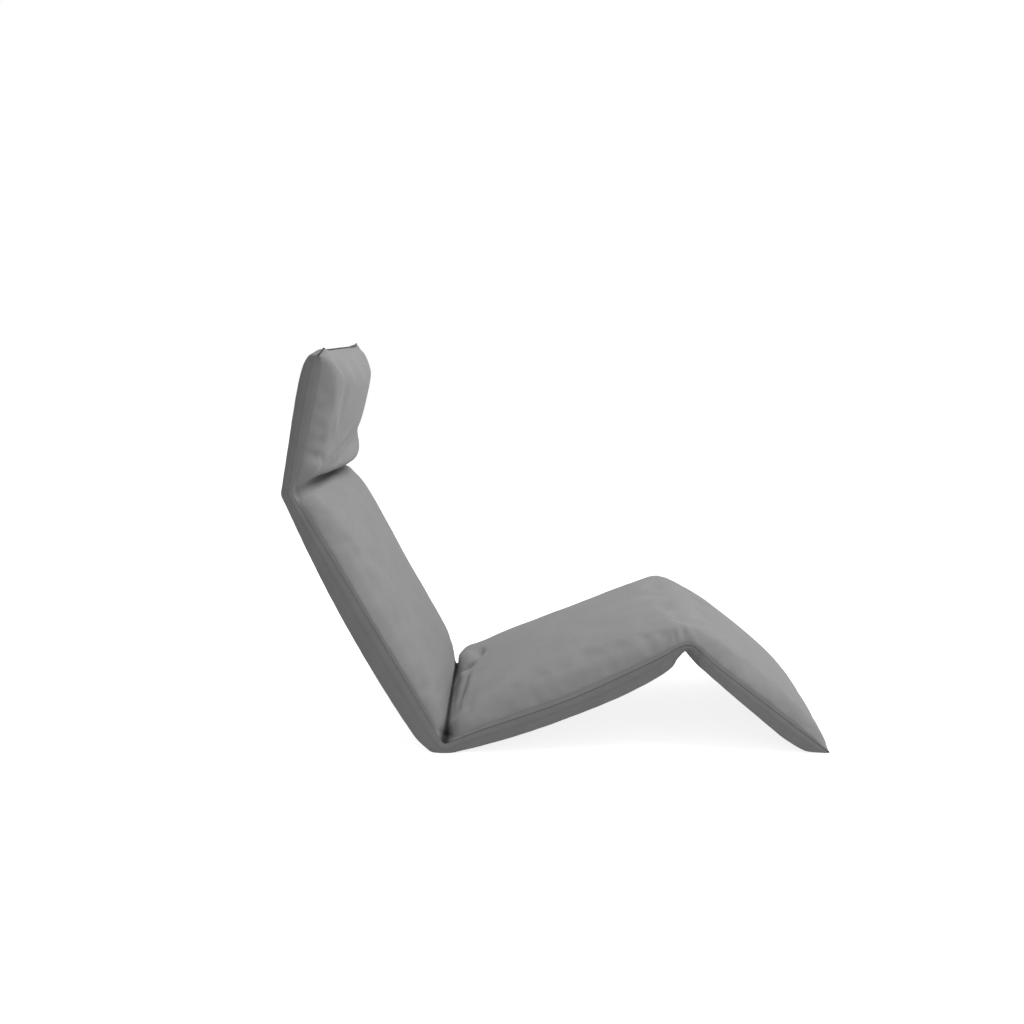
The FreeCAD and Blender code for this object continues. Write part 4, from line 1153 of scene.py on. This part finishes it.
def cloth_material(name, colour, pitch, sheen, seam_shade):
    """Matte brushed cloth: yarns and fuzz in the bump, soft mottling, painted shade by seams and in folds."""
    nodes = Nodes(bpy.data.materials.new(name))
    where = nodes.add("ShaderNodeUVMap", uv_map="cloth").outputs["UV"]
    weave = nodes.weave(where, pitch, Distortion=0.6, Detail=1.0)
    grain = nodes.math("ADD", weave, nodes.noise(where, 1400.0, 3.0))
    soft = nodes.noise(where, 16.0, 5.0, 0.6)
    crush = nodes.noise(where, 42.0, 4.0, 0.55)
    seam_far = nodes.add("ShaderNodeAttribute", attribute_name="seam_far").outputs["Fac"]
    seam = nodes.add("ShaderNodeMapRange", {"Value": seam_far, "From Max": 0.075}).outputs["Result"]
    crease = nodes.add("ShaderNodeAttribute", attribute_name="crease").outputs["Fac"]
    # Painted shade by the side seams: the colour falls to the seam shade at the seam, full again 75 mm away
    tint = nodes.ramp(seam, (0.0, seam_shade), (1.0, 1.0))
    # Painted shade in the folds' creases: the colour falls to 0.08 of itself at the deepest
    tint = nodes.times(tint, nodes.ramp(crease, (0.05, 1.0), (1.0, 0.08)))
    tint = nodes.times(nodes.ramp(soft, (0.25, 0.93), (0.75, 1.07)), tint)
    tint = nodes.times(tint, nodes.ramp(grain, (0.3, 0.90), (1.0, 1.04)))
    relief = nodes.bump(grain, 0.35, 0.0005)
    nodes.put(nodes.shader, {
        "Base Color": nodes.times(tint, (*colour, 1.0)),
        "Roughness": nodes.between(soft, 0.86, 0.98),
        "Specular IOR Level": 0.18,
        "Sheen Weight": sheen,
        "Sheen Roughness": 0.45,
        "Normal": nodes.bump(crush, 0.22, 0.004, Normal=relief),
    })
    return nodes.owner


def metal_material(name, colour, metallic, rough, grain, stretch):
    """Metal or paint with fine brushing or orange peel in the bump and patches of wear in the roughness."""
    nodes = Nodes(bpy.data.materials.new(name))
    where = nodes.add("ShaderNodeTexCoord").outputs["Object"]
    drawn = nodes.add("ShaderNodeMapping", {"Vector": where, "Scale": stretch}).outputs["Vector"]
    lines = nodes.noise(drawn, grain, 3.0)
    wear = nodes.noise(where, 55.0, 5.0)
    nodes.put(nodes.shader, {
        "Base Color": nodes.times(nodes.ramp(wear, (0.3, 0.86), (0.7, 1.08)), (*colour, 1.0)),
        "Roughness": nodes.between(wear, rough - 0.1, rough + 0.12),
        "Metallic": metallic,
        "Normal": nodes.bump(lines, 0.25, 0.0002),
    })
    return nodes.owner


def woven_material(name, colour, pitch):
    """Plain woven tape on Object coordinates: crossed waves in bump and colour."""
    nodes = Nodes(bpy.data.materials.new(name))
    where = nodes.add("ShaderNodeTexCoord").outputs["Object"]
    weave = nodes.weave(where, pitch)
    nodes.put(nodes.shader, {
        "Base Color": nodes.times(nodes.ramp(weave, (0.0, 0.75), (1.0, 1.15)), (*colour, 1.0)),
        "Roughness": 0.8,
        "Normal": nodes.bump(weave, 0.5, 0.0004),
    })
    return nodes.owner


class LOUNGER_OT_upper_cloth(bpy.types.Operator):
    """Sewn cloth of the crown side, in three pieces that span head, hip and knee"""

    bl_idname = "lounger.upper_cloth"
    bl_label = "Upper Cloth"

    def execute(self, context):
        build_pad(context.scene.lounger_sizes)
        upper_panel(context.scene.lounger_sizes)
        material = cloth_material("upper_cloth", context.scene.lounger_colours.upper, 0.0012, 0.25, 0.93)
        head_back, back_seat, seat_leg = panel_pieces("upper", Pad.upper, material)
        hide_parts("headrest_upper_cover", "headrest_foam")
        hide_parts("backrest_upper_cover", "backrest_foam", "seat_foam")
        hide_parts("seat_upper_cover", "legrest_upper_cover", "legrest_foam")
        return {"FINISHED"}


class LOUNGER_OT_lower_cloth(bpy.types.Operator):
    """Darker cloth of the underside, in three pieces that span head, hip and knee"""

    bl_idname = "lounger.lower_cloth"
    bl_label = "Lower Cloth"

    def execute(self, context):
        lower_panel(context.scene.lounger_sizes)
        material = cloth_material("lower_cloth", context.scene.lounger_colours.lower, 0.0015, 0.12, 0.95)
        head_back, back_seat, seat_leg = panel_pieces("lower", Pad.lower, material)
        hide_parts("headrest_lower_cover", "headrest_base_pad")
        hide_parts("backrest_lower_cover", "backrest_base_pad", "seat_base_pad")
        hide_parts("seat_lower_cover", "legrest_lower_cover", "legrest_base_pad")
        return {"FINISHED"}


class LOUNGER_OT_seams(bpy.types.Operator):
    """Rows of thread beside the side seams, and the dark tape of the two end seams"""

    bl_idname = "lounger.seams"
    bl_label = "Seams"

    def execute(self, context):
        colours = context.scene.lounger_colours
        thread = woven_material("thread", colours.thread, 0.0008)
        tape = woven_material("end_tape", colours.binding, 0.0012)
        for kind, panel, slot in (("upper", Pad.upper, "upper_fabric"), ("lower", Pad.lower, "lower_fabric")):
            self.rows(kind, panel, slot, thread, context.scene.lounger_sizes.stitch)
        for name, row, body, step in END_TAPES:
            path = Pad.upper["points"][row].copy()
            path[:, [0, 2]] += step * (HEADREST if body == "headrest" else LEGREST).along
            obj = mesh_object(name, *tube_along(path, TAPE_RADIUS))
            obj.data.materials.append(tape)
            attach(obj, body)
        return {"FINISHED"}

    def rows(self, kind, panel, slot, thread, pitch):
        """Both side rows of one panel, in three pieces cut as the cloth is."""
        normal = grid_normals(panel["points"])
        middle = panel["points"].shape[1] // 2
        near = int(np.argmin(np.abs(panel["seam"][0, :middle] - STITCH_PLACE)))
        for name, before, after, joint, reach, start, end in PANEL_SPANS:
            span = span_rows(panel, start, end)
            left, right = (seam_stitches(panel["points"][span, column], normal[span, column], pitch)
                           for column in (near, -1 - near))
            obj = mesh_object(f"{kind}_stitches_{name}", *merged(left, right))
            obj.data.materials.append(thread)
            blend_over(obj)


class LOUNGER_OT_zip(bpy.types.Operator):
    """Zip across the underside of the seat: tape, teeth, stops and the slider with its wire pull"""

    bl_idname = "lounger.zip"
    bl_label = "Zip"

    def execute(self, context):
        colours = context.scene.lounger_colours
        weave = woven_material("zip_tape_weave", colours.binding, 0.0012)
        metal = metal_material("zip_metal_finish", colours.steel, 1.0, 0.34, 900.0, (1.0, 0.3, 1.0))
        place = SLIDER_END - SLIDER_IN
        tape = mesh_object("zip_tape_strip", *zip_tape())
        row = mesh_object("zip_teeth_row", *zip_teeth())
        row.data.polygons.foreach_set("use_smooth", np.zeros(len(row.data.polygons), bool))
        slider = mesh_object("zip_slider_body", *merged(slider_shell(place), slider_pull(place)))
        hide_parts("seat_zip")
        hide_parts("zip_slider")
        pieces = (
            (tape, weave, "seat", "zip_tape"), (row, metal, "seat", "zip_metal"),
            (slider, metal, "zip_slider", "zip_metal"),
        )
        for obj, material, body, slot in pieces:
            obj.data.materials.append(material)
            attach(obj, body)
        return {"FINISHED"}


class LOUNGER_OT_frame_finish(bpy.types.Operator):
    """Paint, bare steel and webbing on the frame and hinges"""

    bl_idname = "lounger.frame_finish"
    bl_label = "Frame Finish"

    def execute(self, context):
        colours = context.scene.lounger_colours
        rivet = metal_material("rivet_steel", colours.steel, 1.0, 0.28, 900.0, (1.0, 0.2, 1.0))
        by_slot = {
            "frame_steel": metal_material("frame_paint", colours.paint, 0.0, 0.45, 900.0, (1.0, 1.0, 1.0)),
            "hinge_steel": metal_material("hinge_steel", colours.steel, 1.0, 0.38, 700.0, (0.08, 1.0, 0.08)),
            "rivet_steel": rivet,
            "spring_steel": metal_material("spring_steel", colours.steel, 1.0, 0.33, 1200.0, (1.0, 0.1, 1.0)),
            "webbing": woven_material("webbing", colours.webbing, 0.0025),
            "zip_tape": woven_material("zip_tape", colours.binding, 0.0012),
            "zip_metal": rivet,
        }
        for part in frame["record"]["subparts"]:
            if part["material_slot"] in by_slot:
                mesh = frame["nodes"][part["node"]].data
                mesh.materials.clear()
                mesh.materials.append(by_slot[part["material_slot"]])
        return {"FINISHED"}


class LOUNGER_OT_stage(bpy.types.Operator):
    """Pale floor, soft studio light and the camera"""

    bl_idname = "lounger.stage"
    bl_label = "Studio"

    def execute(self, context):
        self.floor()
        self.world(context.scene)
        self.lamp("key", *KEY_LAMP)
        self.camera(context.scene)
        context.scene.view_settings.view_transform = "Standard"
        return {"FINISHED"}

    def floor(self):
        """Flat floor that the camera sees as white, with the shadow of what stands on it."""
        line = np.linspace(-FLOOR_HALF, FLOOR_HALF, FLOOR_POINTS)
        x, y = np.meshgrid(line, line, indexing="ij")
        points = np.stack((x, y, np.zeros_like(x)), axis=-1)
        obj = mesh_object("floor", points.reshape(-1, 3), grid_faces(FLOOR_POINTS, FLOOR_POINTS))
        nodes = Nodes(bpy.data.materials.new("floor_white"))
        nodes.tree.nodes.remove(nodes.shader)
        path = nodes.add("ShaderNodeLightPath").outputs
        seen = nodes.math("MAXIMUM", path["Is Camera Ray"], path["Is Glossy Ray"])
        seen = nodes.math("MAXIMUM", seen, path["Is Transmission Ray"])
        plain = nodes.add("ShaderNodeBsdfDiffuse", {"Color": FLOOR_GREY})
        glow = nodes.math("MULTIPLY", seen, FLOOR_GLOW)
        white = nodes.add("ShaderNodeEmission", {"Color": WHITE, "Strength": glow})
        both = nodes.add("ShaderNodeAddShader", {0: plain.outputs[0], 1: white.outputs[0]})
        nodes.put(nodes.tree.nodes["Material Output"], {"Surface": both.outputs[0]})
        obj.data.materials.append(nodes.owner)

    def world(self, scene):
        """Even grey light from all round, white where the camera looks past the floor."""
        scene.world = bpy.data.worlds.new("studio")
        nodes = Nodes(scene.world)
        path = nodes.add("ShaderNodeLightPath").outputs
        light = nodes.tree.nodes["Background"]
        nodes.put(light, {"Color": WHITE, "Strength": WORLD_LIGHT})
        white = nodes.add("ShaderNodeBackground", {"Color": WHITE, "Strength": 1.0})
        seen = nodes.math("MAXIMUM", path["Is Camera Ray"], path["Is Glossy Ray"])
        mix = nodes.add("ShaderNodeMixShader", {0: seen, 1: light.outputs[0], 2: white.outputs[0]})
        nodes.put(nodes.tree.nodes["World Output"], {"Surface": mix.outputs[0]})

    def lamp(self, name, place, target, size, watts):
        """Square soft lamp that points at a target."""
        data = bpy.data.lights.new(name, "AREA")
        data.energy = watts
        data.size = size
        obj = bpy.data.objects.new(name, data)
        obj.location = place
        aim = np.array(target) - np.array(place)
        obj.rotation_euler = (math.acos(-aim[2] / np.linalg.norm(aim)), 0.0, math.atan2(-aim[0], aim[1]))
        bpy.context.scene.collection.objects.link(obj)

    def camera(self, scene):
        """Camera a little higher than the headrest, tilted slightly down."""
        data = bpy.data.cameras.new("camera")
        data.sensor_width = SENSOR
        data.lens = SENSOR * FOCAL_PIXELS / PICTURE_PIXELS
        obj = bpy.data.objects.new("camera", data)
        obj.location = CAMERA_PLACE
        obj.rotation_euler = (math.radians(90.0 - CAMERA_DOWN), 0.0, math.radians(CAMERA_TURN))
        scene.collection.objects.link(obj)
        scene.camera = obj


class LOUNGER_PT_panel(bpy.types.Panel):
    """Lists the lounger's pieces in the sidebar"""

    bl_idname = "LOUNGER_PT_panel"
    bl_label = "Floor Lounger"
    bl_space_type = "VIEW_3D"
    bl_region_type = "UI"
    bl_category = "Lounger"

    def draw(self, context):
        for group in (context.scene.lounger_sizes, context.scene.lounger_colours):
            for key in group.__annotations__:
                self.layout.prop(group, key)
        for operator in OPERATORS:
            self.layout.operator(operator.bl_idname)


OPERATORS = (
    LOUNGER_OT_upper_cloth, LOUNGER_OT_lower_cloth, LOUNGER_OT_seams, LOUNGER_OT_zip, LOUNGER_OT_frame_finish,
    LOUNGER_OT_stage,
)
CLASSES = (LoungerSizes, LoungerColours) + OPERATORS + (LOUNGER_PT_panel,)


def register():
    """Registers the classes and the scene's settings."""
    for cls in CLASSES:
        bpy.utils.register_class(cls)
    bpy.types.Scene.lounger_sizes = bpy.props.PointerProperty(type=LoungerSizes)
    bpy.types.Scene.lounger_colours = bpy.props.PointerProperty(type=LoungerColours)


def unregister():
    """Takes the settings and classes away again."""
    del bpy.types.Scene.lounger_sizes
    del bpy.types.Scene.lounger_colours
    for cls in reversed(CLASSES):
        bpy.utils.unregister_class(cls)


def main():
    """Registers the classes and makes every piece in order."""
    register()
    bpy.ops.lounger.upper_cloth()
    bpy.ops.lounger.lower_cloth()
    bpy.ops.lounger.seams()
    bpy.ops.lounger.zip()
    bpy.ops.lounger.frame_finish()
    bpy.ops.lounger.stage()


if __name__ == "__main__":
    main()
